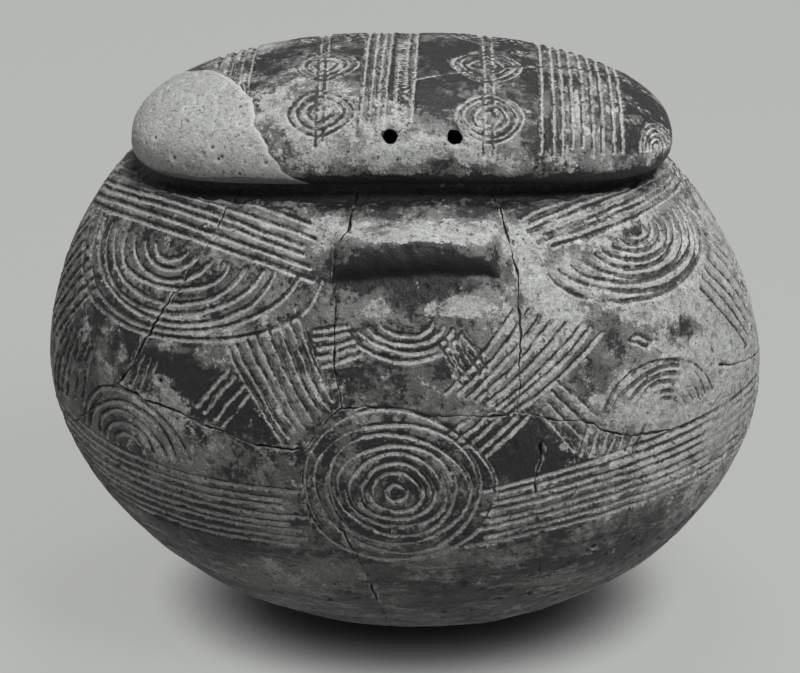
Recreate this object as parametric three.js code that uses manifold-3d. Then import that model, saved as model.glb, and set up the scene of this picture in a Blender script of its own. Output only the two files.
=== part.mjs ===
// A hand-built oval pot with a lid, dug up in pieces and put together again.
// Millimetres, +Z up, the table at 0. The front is at -Y and the long way runs along X.
// The pot is one clay shell, cut into its sherds along the cracks. The lid is a shallow
// dome whose left end is a plaster infill. It sits on the rim, which dips at both ends.

import * as THREE from 'three';
import { mergeVertices } from 'three/addons/utils/BufferGeometryUtils.js';
import Module from 'manifold-3d';

const wasm = await Module();
wasm.setup();
const { Manifold, Mesh } = wasm;

// The pot's outline
const halfLength = 119.5; // of the widest ring, along X
const halfDepth = 87; // of the widest ring, along Y
const widestHeight = 92; // of that ring above the table
const seatHeight = 172.3; // of the lid's seat above the table, over the lid's middle
const closeUnderTable = 3; // how far under the table the lower curve would close
const closeOverSeatLong = 34.7; // how far over the seat the long section would close
const closeOverSeatDeep = 11.7; // the same for the section from front to back
const lowerBend = 1.95; // 2 is an ellipse, and more is squarer
const upperBendLong = 1.81;
const upperBendDeep = 2;
const lean = -0.046; // sideways drift for each millimetre above the widest ring

// The clay
const wall = 7.5;
const floorThickness = 8;
const rimWidth = 8;

// The saddle where rim and lid meet
const seatSag = 6.7; // how much lower it is at the lid's ends
const seatGap = 0.3;

// The lid
const lidEndOverhang = 1.8; // past the rim at the ends, before the shift
const lidSideOverhang = 3.5; // past the rim in front and behind
const lidOutline = 2.5; // 2 is an ellipse, and more is squarer
const lidShift = 2.6; // to the right of the rim's middle
const lidRise = 23.5; // of the dome above its rounded edge
const lidBend = 2.3;
const lidEdgeRadius = 4;
const lidRimWidth = 9;
const lidWall = 7.5;

// The string holes, two at the front of the lid and two at the back
const stringHoleDiameter = 4.8;
const stringHoleSpacing = 20.6;
const stringHoleMiddle = 7; // of each pair, from the lid's middle
const stringHoleInset = 4.3; // from the lid's edge, in plan

// The lugs, one on each long side
const lugHalfLength = 26;
const lugHalfHeight = 8.5;
const lugReach = 10.5; // out from the wall
const lugRoot = 5; // into the wall
const lugSquareness = 3.2;
const lugDrop = 17.3; // of its middle below the lid's seat
const frontLugTurn = 3.7;
const backLugTurn = 180;

const crackGap = 0.3;
const overcut = 3; // how far a cut runs past the face it cuts

// How finely the round shapes are cut
const turns = 72;
const lowerRows = 12;
const upperRows = 8;
const lidTurns = 64;
const lidRows = 9;
const lidEdgeRows = 3;

// A crack is a list of [degrees round from the front, share of the height to the rim].
// Places past the left side have an angle under -90, and past the right side one over 90.
const rimTop = 1.12;
const leftEndCrack = [
  [-38, rimTop], [-37.6, 0.955], [-39.8, 0.9], [-44.8, 0.782], [-47.2, 0.716],
  [-51.4, 0.64], [-54.9, 0.608], [-59.9, 0.555], [-66.3, 0.51], [-71.5, 0.481],
];
const leftOfLugCrack = [
  [-9, rimTop], [-9.3, 0.972], [-9.8, 0.938], [-11.9, 0.913], [-11.4, 0.862],
  [-11, 0.793], [-10.4, 0.736], [-9.7, 0.661],
];
const rightOfLugCrack = [
  [23, rimTop], [22.9, 0.955], [22.6, 0.88], [21.4, 0.832], [19.7, 0.75],
  [18.5, 0.681], [17.9, 0.649],
];
const backLeftCrack = [
  [-133, rimTop], [-132, 0.94], [-137, 0.83], [-133, 0.74], [-136, 0.64], [-134, 0.54],
];
const backRightCrack = [
  [129, rimTop], [130, 0.93], [126, 0.84], [131, 0.74], [127, 0.65], [129, 0.575],
];
const belowLeftCrack = [
  [-51.4, 0.64], [-46.9, 0.624], [-37.4, 0.62], [-30.3, 0.601], [-24, 0.579], [-15.6, 0.581],
];
const belowLugCrack = [
  [-15.6, 0.581], [-11.3, 0.641], [-9.7, 0.661], [-5.8, 0.67], [-0.4, 0.664],
  [3.3, 0.647], [17.9, 0.649], [21.6, 0.635],
];
const belowRightCrack = [
  [21.6, 0.635], [29.7, 0.609], [36.9, 0.567], [49.6, 0.553], [55.5, 0.563],
  [60, 0.594], [60.1, 0.648], [66.6, 0.629], [76.6, 0.606], [86.1, 0.574],
  [101, 0.585], [116, 0.55], [129, 0.575],
];
const belowBackCrack = [
  [129, 0.575], [141, 0.6], [156, 0.572], [170, 0.54], [186, 0.557], [201, 0.592],
  [214, 0.575], [226, 0.54],
];
const belowLeftEndCrack = [
  [-134, 0.54], [-122, 0.488], [-106, 0.465], [-90, 0.46], [-80, 0.466], [-71.5, 0.481],
];
const footCrack = [
  [-160, 0.071], [-130, 0.064], [-100, 0.075], [-70, 0.066], [-38, 0.072], [-8, 0.062],
  [22, 0.066], [50, 0.072], [80, 0.062], [110, 0.074], [135, 0.063], [170, 0.069],
];
const lowerLeftCrack = [
  [-15.6, 0.581], [-16.2, 0.47], [-14.1, 0.439], [-10.7, 0.414], [-9, 0.345],
  [-7.4, 0.244], [-6.7, 0.161], [-8, 0.062],
];
const lowerRightCrack = [
  [21.6, 0.635], [20.8, 0.548], [20.2, 0.507], [20.5, 0.417], [21.2, 0.366],
  [24.5, 0.213], [22, 0.066],
];
const lowerBackRightCrack = [[116, 0.55], [120, 0.45], [115, 0.33], [118, 0.2], [110, 0.074]];
const lowerBackLeftCrack = [
  [-122, 0.488], [-126, 0.4], [-121, 0.3], [-127, 0.18], [-130, 0.064],
];

// The lid's crack is a list of [share of its half length, share of its half depth], and
// starts in front
const infillCrack = [
  [-0.32, -1.09], [-0.38, -0.99], [-0.48, -0.9], [-0.526, -0.74], [-0.528, -0.6],
  [-0.553, -0.45], [-0.6, -0.23], [-0.67, 0.05], [-0.756, 0.23], [-0.81, 0.41],
  [-0.84, 0.59], [-0.9, 0.87],
];

const clay = { colour: 0x4e4e4a, roughness: 0.62 };
const plaster = { colour: 0xb4b4ae, roughness: 0.92 };

const radians = THREE.MathUtils.degToRad;
const raise = (base, power) => Math.pow(Math.max(base, 0), power);

const lowerRise = widestHeight + closeUnderTable;
const upperRiseLong = seatHeight - widestHeight + closeOverSeatLong;
const upperRiseDeep = seatHeight - widestHeight + closeOverSeatDeep;
const lugHeight = seatHeight - lugDrop;

// Half the length and half the depth of the shell at a height. The inset is 0 for the outer
// face, and the wall's thickness for the inner one.
function sectionAt(height, inset = 0) {
  const up = height - widestHeight;
  const isLow = up < 0;
  const along = Math.abs(up) / ((isLow ? lowerRise : upperRiseLong) - inset);
  const across = Math.abs(up) / ((isLow ? lowerRise : upperRiseDeep) - inset);
  const bendAlong = isLow ? lowerBend : upperBendLong;
  const bendAcross = isLow ? lowerBend : upperBendDeep;
  return [
    (halfLength - inset) * raise(1 - raise(along, bendAlong), 1 / bendAlong),
    (halfDepth - inset) * raise(1 - raise(across, bendAcross), 1 / bendAcross),
  ];
}

const driftAt = (height) => lean * (height - widestHeight);

// The lid covers the rim, and follows it in size and place
const lidHalfLength = sectionAt(seatHeight - seatSag)[0] + lidEndOverhang;
const lidHalfDepth = sectionAt(seatHeight)[1] + lidSideOverhang;
const lidMiddle = driftAt(seatHeight) + lidShift;

// A point of the shell, by degrees round from the front and height above the table
function potPoint(turn, height, inset = 0) {
  const [along, across] = sectionAt(height, inset);
  const angle = radians(turn);
  return new THREE.Vector3(
    along * Math.sin(angle) + driftAt(height), -across * Math.cos(angle), height);
}

// The height of the seam between rim and lid, which dips towards both ends
const seamAt = (x) => seatHeight - seatSag * ((x - lidMiddle) / lidHalfLength) ** 2;
const rimAt = (x) => seamAt(x) - seatGap;

// Halves the range until the test changes, which it does once between low and high
function findHeight(low, high, isBelow) {
  for (let step = 0; step < 40; step += 1) {
    const middle = (low + high) / 2;
    if (isBelow(middle)) low = middle;
    else high = middle;
  }
  return low;
}

// The height at which the outer face reaches the rim's edge
function rimHeight(turn) {
  return findHeight(widestHeight, widestHeight + upperRiseDeep,
    (height) => height < rimAt(potPoint(turn, height).x));
}

const rimHalfLength = potPoint(90, rimHeight(90)).x - driftAt(rimHeight(90));
const rimHalfDepth = -potPoint(0, rimHeight(0)).y;
const mouthHalfLength = rimHalfLength - rimWidth;
const mouthHalfDepth = rimHalfDepth - rimWidth;

// The height at which the inner face reaches the upright wall of the mouth
function mouthHeight(turn) {
  return findHeight(widestHeight, widestHeight + upperRiseDeep - wall, (height) => {
    const point = potPoint(turn, height, wall);
    const along = (point.x - driftAt(seatHeight)) / mouthHalfLength;
    return along ** 2 + (point.y / mouthHalfDepth) ** 2 > 1;
  });
}

// A height in the lower half whose rows bunch towards the foot, where the wall runs flat
function lowerHeight(share, bottom, inset) {
  const rise = lowerRise - inset;
  const start = Math.asin(raise((widestHeight - bottom) / rise, lowerBend / 2));
  return widestHeight - rise * raise(Math.sin(start * (1 - share)), 2 / lowerBend);
}

function solidFromArrays(positions, indices) {
  const geometry = new THREE.BufferGeometry();
  geometry.setAttribute('position', new THREE.Float32BufferAttribute(positions, 3));
  geometry.setIndex(indices);
  const merged = mergeVertices(geometry, 1e-4);
  return new Manifold(new Mesh({
    numProp: 3,
    vertProperties: merged.attributes.position.array,
    triVerts: new Uint32Array(merged.index.array),
  }));
}

// A closed body from rings of points, with a single point at each end
function solidFromRings(first, rings, last) {
  const positions = [...first.toArray()];
  for (const ring of rings) for (const point of ring) positions.push(...point.toArray());
  positions.push(...last.toArray());
  const count = rings[0].length;
  const at = (row, column) => 1 + row * count + (column % count);
  const end = 1 + rings.length * count;
  const indices = [];
  for (let column = 0; column < count; column += 1) {
    indices.push(0, at(0, column + 1), at(0, column));
    indices.push(end, at(rings.length - 1, column), at(rings.length - 1, column + 1));
    for (let row = 0; row + 1 < rings.length; row += 1) {
      indices.push(at(row, column), at(row, column + 1), at(row + 1, column + 1));
      indices.push(at(row, column), at(row + 1, column + 1), at(row + 1, column));
    }
  }
  return solidFromArrays(positions, indices);
}

const ringOf = (count, pointAt) => Array.from({ length: count }, (_, i) => pointAt((360 * i) / count));

// The whole pot, from under the foot up the outside, over the rim and down the inside
function makeShell() {
  const rings = [];
  for (let row = 0; row <= lowerRows; row += 1) {
    const height = lowerHeight(row / lowerRows, 0, 0);
    rings.push(ringOf(turns, (turn) => potPoint(turn, height)));
  }
  for (let row = 1; row <= upperRows; row += 1) {
    rings.push(ringOf(turns, (turn) => potPoint(turn,
      THREE.MathUtils.lerp(widestHeight, rimHeight(turn), row / upperRows))));
  }
  rings.push(ringOf(turns, (turn) => {
    const point = potPoint(turn, mouthHeight(turn), wall);
    return point.setZ(rimAt(point.x));
  }));
  for (let row = upperRows; row >= 1; row -= 1) {
    rings.push(ringOf(turns, (turn) => potPoint(turn,
      THREE.MathUtils.lerp(widestHeight, mouthHeight(turn), row / upperRows), wall)));
  }
  for (let row = lowerRows; row >= 0; row -= 1) {
    const height = lowerHeight(row / lowerRows, floorThickness, wall);
    rings.push(ringOf(turns, (turn) => potPoint(turn, height, wall)));
  }
  const under = new THREE.Vector3(driftAt(0), 0, 0);
  const inside = new THREE.Vector3(driftAt(floorThickness), 0, floorThickness);
  return solidFromRings(under, rings, inside);
}

// The outward direction of the pot's outer face
function outwardAt(turn, height) {
  const step = 0.5;
  const round = potPoint(turn + step, height).sub(potPoint(turn - step, height));
  const up = potPoint(turn, height + step).sub(potPoint(turn, height - step));
  return round.cross(up).normalize();
}

// A lug: a thick roll of clay that lies along the wall, with blunt ends
function makeLug(turn) {
  const outward = outwardAt(turn, lugHeight);
  const along = new THREE.Vector3(0, 0, 1).cross(outward).normalize();
  const up = outward.clone().cross(along);
  const middle = potPoint(turn, lugHeight).addScaledVector(outward, -lugRoot);
  const stations = 12;
  const sides = 16;
  const rings = [];
  for (let i = 1; i < stations; i += 1) {
    const share = -Math.cos((Math.PI * i) / stations);
    const size = raise(1 - raise(Math.abs(share), lugSquareness), 1 / lugSquareness);
    rings.push(ringOf(sides, (angle) => middle.clone()
      .addScaledVector(along, share * lugHalfLength)
      .addScaledVector(outward, size * (lugReach + lugRoot) * Math.cos(radians(angle)))
      .addScaledVector(up, -size * lugHalfHeight * Math.sin(radians(angle)))));
  }
  const left = middle.clone().addScaledVector(along, -lugHalfLength);
  const right = middle.clone().addScaledVector(along, lugHalfLength);
  return solidFromRings(left, rings, right);
}

// A thin upright sheet that follows a crack, to cut the clay with. Each place gives the sheet's
// near and far point there, and the sheet is as thick as the crack.
function makeSheet(places, isClosed = false) {
  const count = places.length;
  const positions = [];
  for (let i = 0; i < count; i += 1) {
    const before = places[isClosed ? (i + count - 1) % count : Math.max(i - 1, 0)];
    const after = places[isClosed ? (i + 1) % count : Math.min(i + 1, count - 1)];
    const { near, far } = places[i];
    const along = after.far.clone().sub(before.far).normalize();
    const side = along.cross(far.clone().sub(near)).setLength(crackGap / 2);
    const corners = [
      near.clone().add(side), near.clone().sub(side), far.clone().sub(side), far.clone().add(side)];
    for (const corner of corners) positions.push(...corner.toArray());
  }
  const indices = [];
  for (let i = 0; i < (isClosed ? count : count - 1); i += 1) {
    const next = (i + 1) % count;
    for (let corner = 0; corner < 4; corner += 1) {
      const [a, b] = [i * 4 + corner, i * 4 + ((corner + 1) % 4)];
      const [c, d] = [next * 4 + ((corner + 1) % 4), next * 4 + corner];
      // Both faces are split along the same diagonal, so that a twisted sheet keeps its thickness
      if (corner < 2) indices.push(a, b, c, a, c, d);
      else indices.push(a, b, d, b, c, d);
    }
  }
  if (!isClosed) {
    const end = (count - 1) * 4;
    indices.push(0, 2, 1, 0, 3, 2, end, end + 1, end + 2, end, end + 2, end + 3);
  }
  return solidFromArrays(positions, indices);
}

// A crack of the pot. The sheet stands across the wall, on lines from the pot's middle.
function potSheet(crack, isClosed = false) {
  const middle = new THREE.Vector3(0, 0, widestHeight);
  const places = crack.map(([turn, level]) => {
    const height = Math.min(level, 1) * rimHeight(turn);
    const point = potPoint(turn, height);
    const near = middle.clone().lerp(point, 0.7);
    const far = middle.clone().lerp(point, 1.4);
    const above = Math.max(level - 1, 0) * seatHeight;
    return { near: near.setZ(near.z + above), far: far.setZ(far.z + above) };
  });
  return makeSheet(places, isClosed);
}

// A point of the lid's dome, by degrees round and share of the way up from the widest edge
function lidPoint(turn, share, inset = 0) {
  const angle = radians(turn);
  const [x, y] = [Math.sin(angle), -Math.cos(angle)];
  const reach = raise(Math.abs(x) ** lidOutline + Math.abs(y) ** lidOutline, -1 / lidOutline);
  const shrink = raise(Math.cos((share * Math.PI) / 2), 2 / lidBend) * reach;
  const rise = raise(Math.sin((share * Math.PI) / 2), 2 / lidBend);
  const planX = (lidHalfLength - inset) * x * shrink + lidMiddle;
  const planY = (lidHalfDepth - inset) * y * shrink;
  const height = seamAt(planX) + lidEdgeRadius + lidRise * rise;
  return new THREE.Vector3(planX, planY, height);
}

// A point on the lid's seat face or its rounded edge, set in from the widest line
function lidFootPoint(turn, inset, lift) {
  const point = lidPoint(turn, 0, inset);
  return point.setZ(seamAt(point.x) + lift);
}

function lidDomeRings(inset, drop) {
  const rings = [];
  for (let row = 0; row < lidRows; row += 1) {
    rings.push(ringOf(lidTurns, (turn) => {
      const point = lidPoint(turn, row / lidRows, inset);
      return point.setZ(point.z - drop * (row / lidRows));
    }));
  }
  return rings;
}

function makeLid() {
  const rings = [ringOf(lidTurns, (turn) => lidFootPoint(turn, lidEdgeRadius, 0))];
  for (let row = 1; row < lidEdgeRows; row += 1) {
    const angle = (row / lidEdgeRows) * (Math.PI / 2);
    rings.push(ringOf(lidTurns, (turn) => lidFootPoint(turn,
      lidEdgeRadius * (1 - Math.sin(angle)), lidEdgeRadius * (1 - Math.cos(angle)))));
  }
  rings.push(...lidDomeRings(0, 0));
  const bottom = new THREE.Vector3(lidMiddle, 0, seatHeight);
  const outer = solidFromRings(bottom, [...seatRings(), ...rings], lidPoint(0, 1));

  const innerRings = [
    ringOf(lidTurns, (turn) => lidFootPoint(turn, lidRimWidth, -overcut)),
    ringOf(lidTurns, (turn) => lidFootPoint(turn, lidRimWidth, lidEdgeRadius / 4)),
    ...lidDomeRings(lidRimWidth, lidWall).slice(1),
  ];
  const innerTop = lidPoint(0, 1).setZ(lidPoint(0, 1).z - lidWall);
  const inner = solidFromRings(bottom.clone().setZ(seatHeight - seatSag - 2 * overcut),
    innerRings, innerTop);
  return outer.subtract(inner);
}

// The seat's face under the lid, as rings from the middle out to the rounded edge
function seatRings() {
  const shares = [0.35, 0.7];
  return shares.map((share) => ringOf(lidTurns, (turn) => {
    const rim = lidFootPoint(turn, lidEdgeRadius, 0);
    const x = lidMiddle + (rim.x - lidMiddle) * share;
    return new THREE.Vector3(x, rim.y * share, seamAt(x));
  }));
}

// The height of the lid's outer face over a place in plan
function lidHeightAt(x, y) {
  const along = Math.abs((x - lidMiddle) / lidHalfLength) ** lidOutline;
  const across = Math.abs(y / lidHalfDepth) ** lidOutline;
  const share = raise(along + across, 1 / lidOutline);
  return seamAt(x) + lidEdgeRadius + lidRise * raise(1 - raise(share, lidBend), 1 / lidBend);
}

// A string hole, drilled square to the lid's face
function makeStringHole(x, side) {
  const edge = raise(1 - Math.abs((x - lidMiddle) / lidHalfLength) ** lidOutline, 1 / lidOutline);
  const y = side * (lidHalfDepth * edge - stringHoleInset);
  const step = 0.2;
  const outward = new THREE.Vector3(
    (lidHeightAt(x - step, y) - lidHeightAt(x + step, y)) / (2 * step),
    (lidHeightAt(x, y - step) - lidHeightAt(x, y + step)) / (2 * step), 1).normalize();
  const length = 4 * lidWall;
  const drill = new THREE.CylinderGeometry(
    stringHoleDiameter / 2, stringHoleDiameter / 2, length, 16);
  drill.deleteAttribute('normal');
  drill.deleteAttribute('uv');
  const turned = new THREE.Quaternion().setFromUnitVectors(new THREE.Vector3(0, 1, 0), outward);
  drill.applyQuaternion(turned);
  drill.translate(x, y, lidHeightAt(x, y));
  const merged = mergeVertices(drill, 1e-4);
  return solidFromArrays(Array.from(merged.attributes.position.array), Array.from(merged.index.array));
}

// Cuts the clay along the sheets, and picks out each piece by a point inside its wall
function breakApart(whole, sheets, seeds) {
  const pieces = whole.subtract(Manifold.union(sheets)).decompose();
  const probeSize = 1;
  return Object.entries(seeds).map(([name, point]) => {
    const probe = new THREE.BoxGeometry(probeSize, probeSize, probeSize);
    probe.deleteAttribute('normal');
    probe.deleteAttribute('uv');
    probe.translate(point.x, point.y, point.z);
    const merged = mergeVertices(probe, 1e-4);
    const solid = solidFromArrays(
      Array.from(merged.attributes.position.array), Array.from(merged.index.array));
    const piece = pieces.find((candidate) => !candidate.intersect(solid).isEmpty());
    if (!piece) throw new Error(`no piece holds the point given for ${name}`);
    return [name, piece];
  });
}

function meshOf(name, solid, finish) {
  const { vertProperties, triVerts, numProp } = solid.getMesh();
  const geometry = new THREE.BufferGeometry();
  const positions = new Float32Array((vertProperties.length / numProp) * 3);
  for (let i = 0; i < positions.length / 3; i += 1) {
    for (let axis = 0; axis < 3; axis += 1) positions[i * 3 + axis] = vertProperties[i * numProp + axis];
  }
  geometry.setAttribute('position', new THREE.BufferAttribute(positions, 3));
  geometry.setIndex(new THREE.BufferAttribute(new Uint32Array(triVerts), 1));
  geometry.computeVertexNormals();
  const material = new THREE.MeshStandardMaterial({
    color: finish.colour, roughness: finish.roughness, metalness: 0 });
  const mesh = new THREE.Mesh(geometry, material);
  mesh.name = name;
  return mesh;
}

const pot = makeShell().add(makeLug(frontLugTurn)).add(makeLug(backLugTurn));
const openCracks = [
  leftEndCrack, leftOfLugCrack, rightOfLugCrack, backLeftCrack, backRightCrack,
  belowLeftCrack, belowLugCrack, belowRightCrack, belowBackCrack, belowLeftEndCrack,
  lowerLeftCrack, lowerRightCrack, lowerBackRightCrack, lowerBackLeftCrack,
];
const potSheets = [...openCracks.map((crack) => potSheet(crack)), potSheet(footCrack, true)];
const midWall = (turn, level) => {
  const height = level * rimHeight(turn);
  return potPoint(turn, height).addScaledVector(outwardAt(turn, height), -wall / 2);
};
const sherds = breakApart(pot, potSheets, {
  front_lug_sherd: midWall(5, 0.75),
  front_left_sherd: midWall(-25, 0.75),
  left_side_sherd: midWall(-90, 0.65),
  right_side_sherd: midWall(80, 0.75),
  back_lug_sherd: midWall(180, 0.75),
  lower_front_sherd: midWall(5, 0.4),
  lower_right_sherd: midWall(80, 0.35),
  lower_back_sherd: midWall(180, 0.35),
  lower_left_sherd: midWall(-70, 0.3),
  base_sherd: midWall(0, 0.02),
});

const holePairs = [-1, 1].flatMap((side) => [-0.5, 0.5].map((step) => makeStringHole(
  lidMiddle - side * stringHoleMiddle + step * stringHoleSpacing, side)));
const lid = makeLid().subtract(Manifold.union(holePairs));
const infillSheet = makeSheet(infillCrack.map(([along, across]) => {
  const [x, y] = [lidMiddle + along * lidHalfLength, across * lidHalfDepth];
  return {
    near: new THREE.Vector3(x, y, seatHeight - seatSag - overcut),
    far: new THREE.Vector3(x, y, seatHeight + lidEdgeRadius + lidRise + overcut),
  };
}));
const lidSeed = (x) => new THREE.Vector3(x, 0, lidHeightAt(x, 0) - lidWall / 2);
const lidPieces = breakApart(lid, [infillSheet], {
  lid_clay: lidSeed(lidMiddle),
  lid_end_infill: lidSeed(lidMiddle - 0.85 * lidHalfLength),
});

const group = new THREE.Group();
group.name = 'lidded_pot';
for (const [name, solid] of [...sherds, ...lidPieces]) {
  group.add(meshOf(name, solid, name === 'lid_end_infill' ? plaster : clay));
}

export default group;
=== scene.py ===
import math

import bmesh
import bpy
import numpy as np
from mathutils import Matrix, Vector


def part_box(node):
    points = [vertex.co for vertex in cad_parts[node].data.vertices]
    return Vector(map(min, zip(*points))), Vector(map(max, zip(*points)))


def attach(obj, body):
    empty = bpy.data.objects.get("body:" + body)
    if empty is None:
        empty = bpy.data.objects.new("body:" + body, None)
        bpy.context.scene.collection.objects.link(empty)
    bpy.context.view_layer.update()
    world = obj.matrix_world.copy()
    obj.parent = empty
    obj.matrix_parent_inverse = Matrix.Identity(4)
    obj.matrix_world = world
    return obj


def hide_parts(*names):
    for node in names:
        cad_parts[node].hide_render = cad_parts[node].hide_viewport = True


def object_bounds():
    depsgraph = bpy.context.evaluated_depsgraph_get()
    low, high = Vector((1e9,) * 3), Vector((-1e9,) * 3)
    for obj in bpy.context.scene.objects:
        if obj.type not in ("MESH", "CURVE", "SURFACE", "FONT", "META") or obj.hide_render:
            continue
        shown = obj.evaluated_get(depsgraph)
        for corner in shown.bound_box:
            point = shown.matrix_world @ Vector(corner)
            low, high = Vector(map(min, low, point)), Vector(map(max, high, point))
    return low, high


# A hand-built oval jar with a lid, rejoined from its sherds. Lengths are in mm until a mesh is
# made. A place on the wall is [degrees round from the front, height], and a place on the lid is
# [mm along from its middle, degrees over the dome from the front edge].

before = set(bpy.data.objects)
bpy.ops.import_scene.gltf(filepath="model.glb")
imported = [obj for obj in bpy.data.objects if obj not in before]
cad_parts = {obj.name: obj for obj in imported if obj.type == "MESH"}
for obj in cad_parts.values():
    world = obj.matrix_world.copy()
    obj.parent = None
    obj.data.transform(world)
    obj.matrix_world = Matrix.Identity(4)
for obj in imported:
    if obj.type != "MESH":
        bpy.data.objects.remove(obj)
cadLow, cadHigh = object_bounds()
perMetre = 1000.0
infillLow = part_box("lid_end_infill")[0] * perMetre
lidLow, lidHigh = (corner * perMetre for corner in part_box("lid_clay"))

pot = {
    "halfLength": (cadHigh.x - cadLow.x) * perMetre / 2,
    "halfDepth": (cadHigh.y - cadLow.y) * perMetre / 2,
    "widest": 92.0,
    "seat": 172.3,
    "closeUnder": 3.0,
    "closeOverLong": 34.7,
    "closeOverDeep": 11.7,
    "lowerBend": 1.95,
    "upperBendLong": 1.81,
    "upperBendDeep": 2.0,
    "lean": -0.046,
    "wall": 7.5,
    "rimWidth": 8.0,
    "rimRound": 1.4,
    "ledgeSink": 4.2,
    "ledgeShare": 0.58,
    "seatSag": 6.7,
    "seatGap": 0.3,
}
lid = {
    "halfLength": (lidHigh.x - infillLow.x) / 2,
    "halfDepth": (lidHigh.y - lidLow.y) / 2,
    "middle": (lidHigh.x + infillLow.x) / 2,
    "outline": 2.5,
    "rise": 21.0,
    "bend": 2.3,
    "edge": 6.5,
    "edgeIn": 5.0,
    "rimWidth": 9.0,
    "wall": 7.5,
}
lug = {
    "turns": [3.7, 180.0],
    "drop": 15.2,
    "halfLength": 26.6,
    "arch": 0.0025,
    "upperHalf": 9.6,
    "lowerHalf": 6.6,
    "reach": 9.4,
    "tilt": 0.35,
    "frontSlope": 0.55,
    "lowerSlope": 3.0,
    "endSlope": 1.4,
    "round": 1.2,
    "fillet": 0.9,
}
groove = {"halfWidth": 1.15, "depth": 0.85, "lip": 0.16, "far": 2.4, "step": 0.35,
          "shadeUp": 0.75, "shadeAside": 0.4}
surfaceStep = {"front_lug_sherd": 0.38, "front_left_sherd": 0.38, "lower_front_sherd": 0.4,
               "left_side_sherd": 0.46, "back_lug_sherd": 0.58, "lower_back_sherd": 0.58,
               "others": 0.5, "inside": 7}
# What the maker's hand and wear make uneven, as layers of noise: (amount, cell in mm, seed).
noiseLayers = {
    "face": [(0.38, 26.0, 71), (0.2, 9.0, 72), (0.1, 2.2, 73), (0.06, 1.1, 74)],
    "pits": [(1, 3.1, 75)],
    "grooveDepth": [(0.35, 7.0, 61)],
    "grooveWidth": [(0.28, 4.0, 62)],
    "grooveEdge": [(0.13, 1.7, 65)],
    "grooveWear": [(1, 21.0, 63), (0.3, 6.0, 64)],
    "crackAcross": [(1, 8.0, 41), (0.5, 2.6, 42), (0.25, 1.3, 45)],
    "crackUp": [(1, 8.0, 43), (0.5, 2.6, 44), (0.25, 1.3, 46)],
    "crackWidth": [(1, 9.0, 84), (0.6, 2.7, 85)],
    "crackShut": [(1, 8.0, 83)],
    "crackChips": [(1, 4.5, 81)],
    "lugEnds": [(0.9, 7.0, 52)],
    "lugFaces": [(0.8, 11.0, 51), (0.5, 3.6, 55)],
    "lugReach": [(0.8, 13.0, 53)],
    "lugBites": [(1, 5.0, 54)],
    "ledge": [(0.006, 9.0, 93), (0.003, 2.5, 94)],
    "tone": [(0.16, 18.0, 91)],
    "crust": [(0.14, 24.0, 92)],
    "lidBreak": [(1, 7.0, 101), (0.6, 2.2, 102), (0.3, 1.1, 103)],
    "lidShade": [(1, 6.0, 115)],
    "plasterFace": [(0.3, 14.0, 113), (0.04, 1.2, 114)],
    "plasterPits": [(1, 2.4, 111)],
    "plasterPinholes": [(1, 1.2, 112)],
}
lowerRise = pot["widest"] + pot["closeUnder"]
upperRiseLong = pot["seat"] - pot["widest"] + pot["closeOverLong"]
upperRiseDeep = pot["seat"] - pot["widest"] + pot["closeOverDeep"]


def power(base, exponent):
    return np.maximum(base, 0.0) ** exponent


def smoothStep(value, low, high):
    share = np.clip((value - low) / (high - low), 0.0, 1.0)
    return share * share * (3 - 2 * share)


latticeKeys = np.array([73856093, 19349663, 83492791])


# Value noise from -1 to 1: random numbers on a lattice of cells, blended by smooth steps.
def smoothNoise(points, cell, seed):
    table = np.random.default_rng(seed).uniform(-1, 1, 4096)
    place = points / cell + 512.0
    base = np.floor(place).astype(np.int64)
    share = place - base
    share = share * share * (3 - 2 * share)
    total = np.zeros(points.shape[:-1])
    for corner in range(8):
        step = np.array([corner & 1, corner >> 1 & 1, corner >> 2 & 1])
        key = np.bitwise_xor.reduce((base + step) * latticeKeys, axis=-1)
        weight = np.prod(np.where(step, share, 1 - share), axis=-1)
        total += weight * table[key % 4096]
    return total


def uneven(points, name):
    return sum(amount * smoothNoise(points, cell, seed) for amount, cell, seed in noiseLayers[name])


# Half length and half depth of the oval ring at a height: superellipse arcs from the widest
# ring up and down to where each section would close.
def section(height, inset=0.0):
    up = height - pot["widest"]
    low = up < 0
    along = np.abs(up) / (np.where(low, lowerRise, upperRiseLong) - inset)
    across = np.abs(up) / (np.where(low, lowerRise, upperRiseDeep) - inset)
    bendAlong = np.where(low, pot["lowerBend"], pot["upperBendLong"])
    bendAcross = np.where(low, pot["lowerBend"], pot["upperBendDeep"])
    halfLength = (pot["halfLength"] - inset) * power(1 - along**bendAlong, 1 / bendAlong)
    halfDepth = (pot["halfDepth"] - inset) * power(1 - across**bendAcross, 1 / bendAcross)
    return halfLength, halfDepth


# The wall's point: the ring's half length times the sine and half depth times the cosine of
# the turn, drifting sideways with the height.
def shellPoint(turn, height, inset=0.0):
    turn, height = np.broadcast_arrays(np.asarray(turn, float), np.asarray(height, float))
    halfLength, halfDepth = section(height, inset)
    angle = np.radians(turn)
    x = halfLength * np.sin(angle) + pot["lean"] * (height - pot["widest"])
    return np.stack([x, -halfDepth * np.cos(angle), height], axis=-1)


# The seam between rim and lid is a parabola along the pot, lowest at both ends.
def seamHeight(x):
    return pot["seat"] - pot["seatSag"] * ((x - lid["middle"]) / lid["halfLength"]) ** 2


def rimSurface(x):
    return seamHeight(x) - pot["seatGap"]


# For every degree of the turn, the height at which a test stops being true, found by halving.
def bisect(low, high, isBelow):
    low, high = low.copy(), high.copy()
    for _ in range(40):
        middle = (low + high) / 2
        below = isBelow(middle)
        low = np.where(below, middle, low)
        high = np.where(below, high, middle)
    return low


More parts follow.
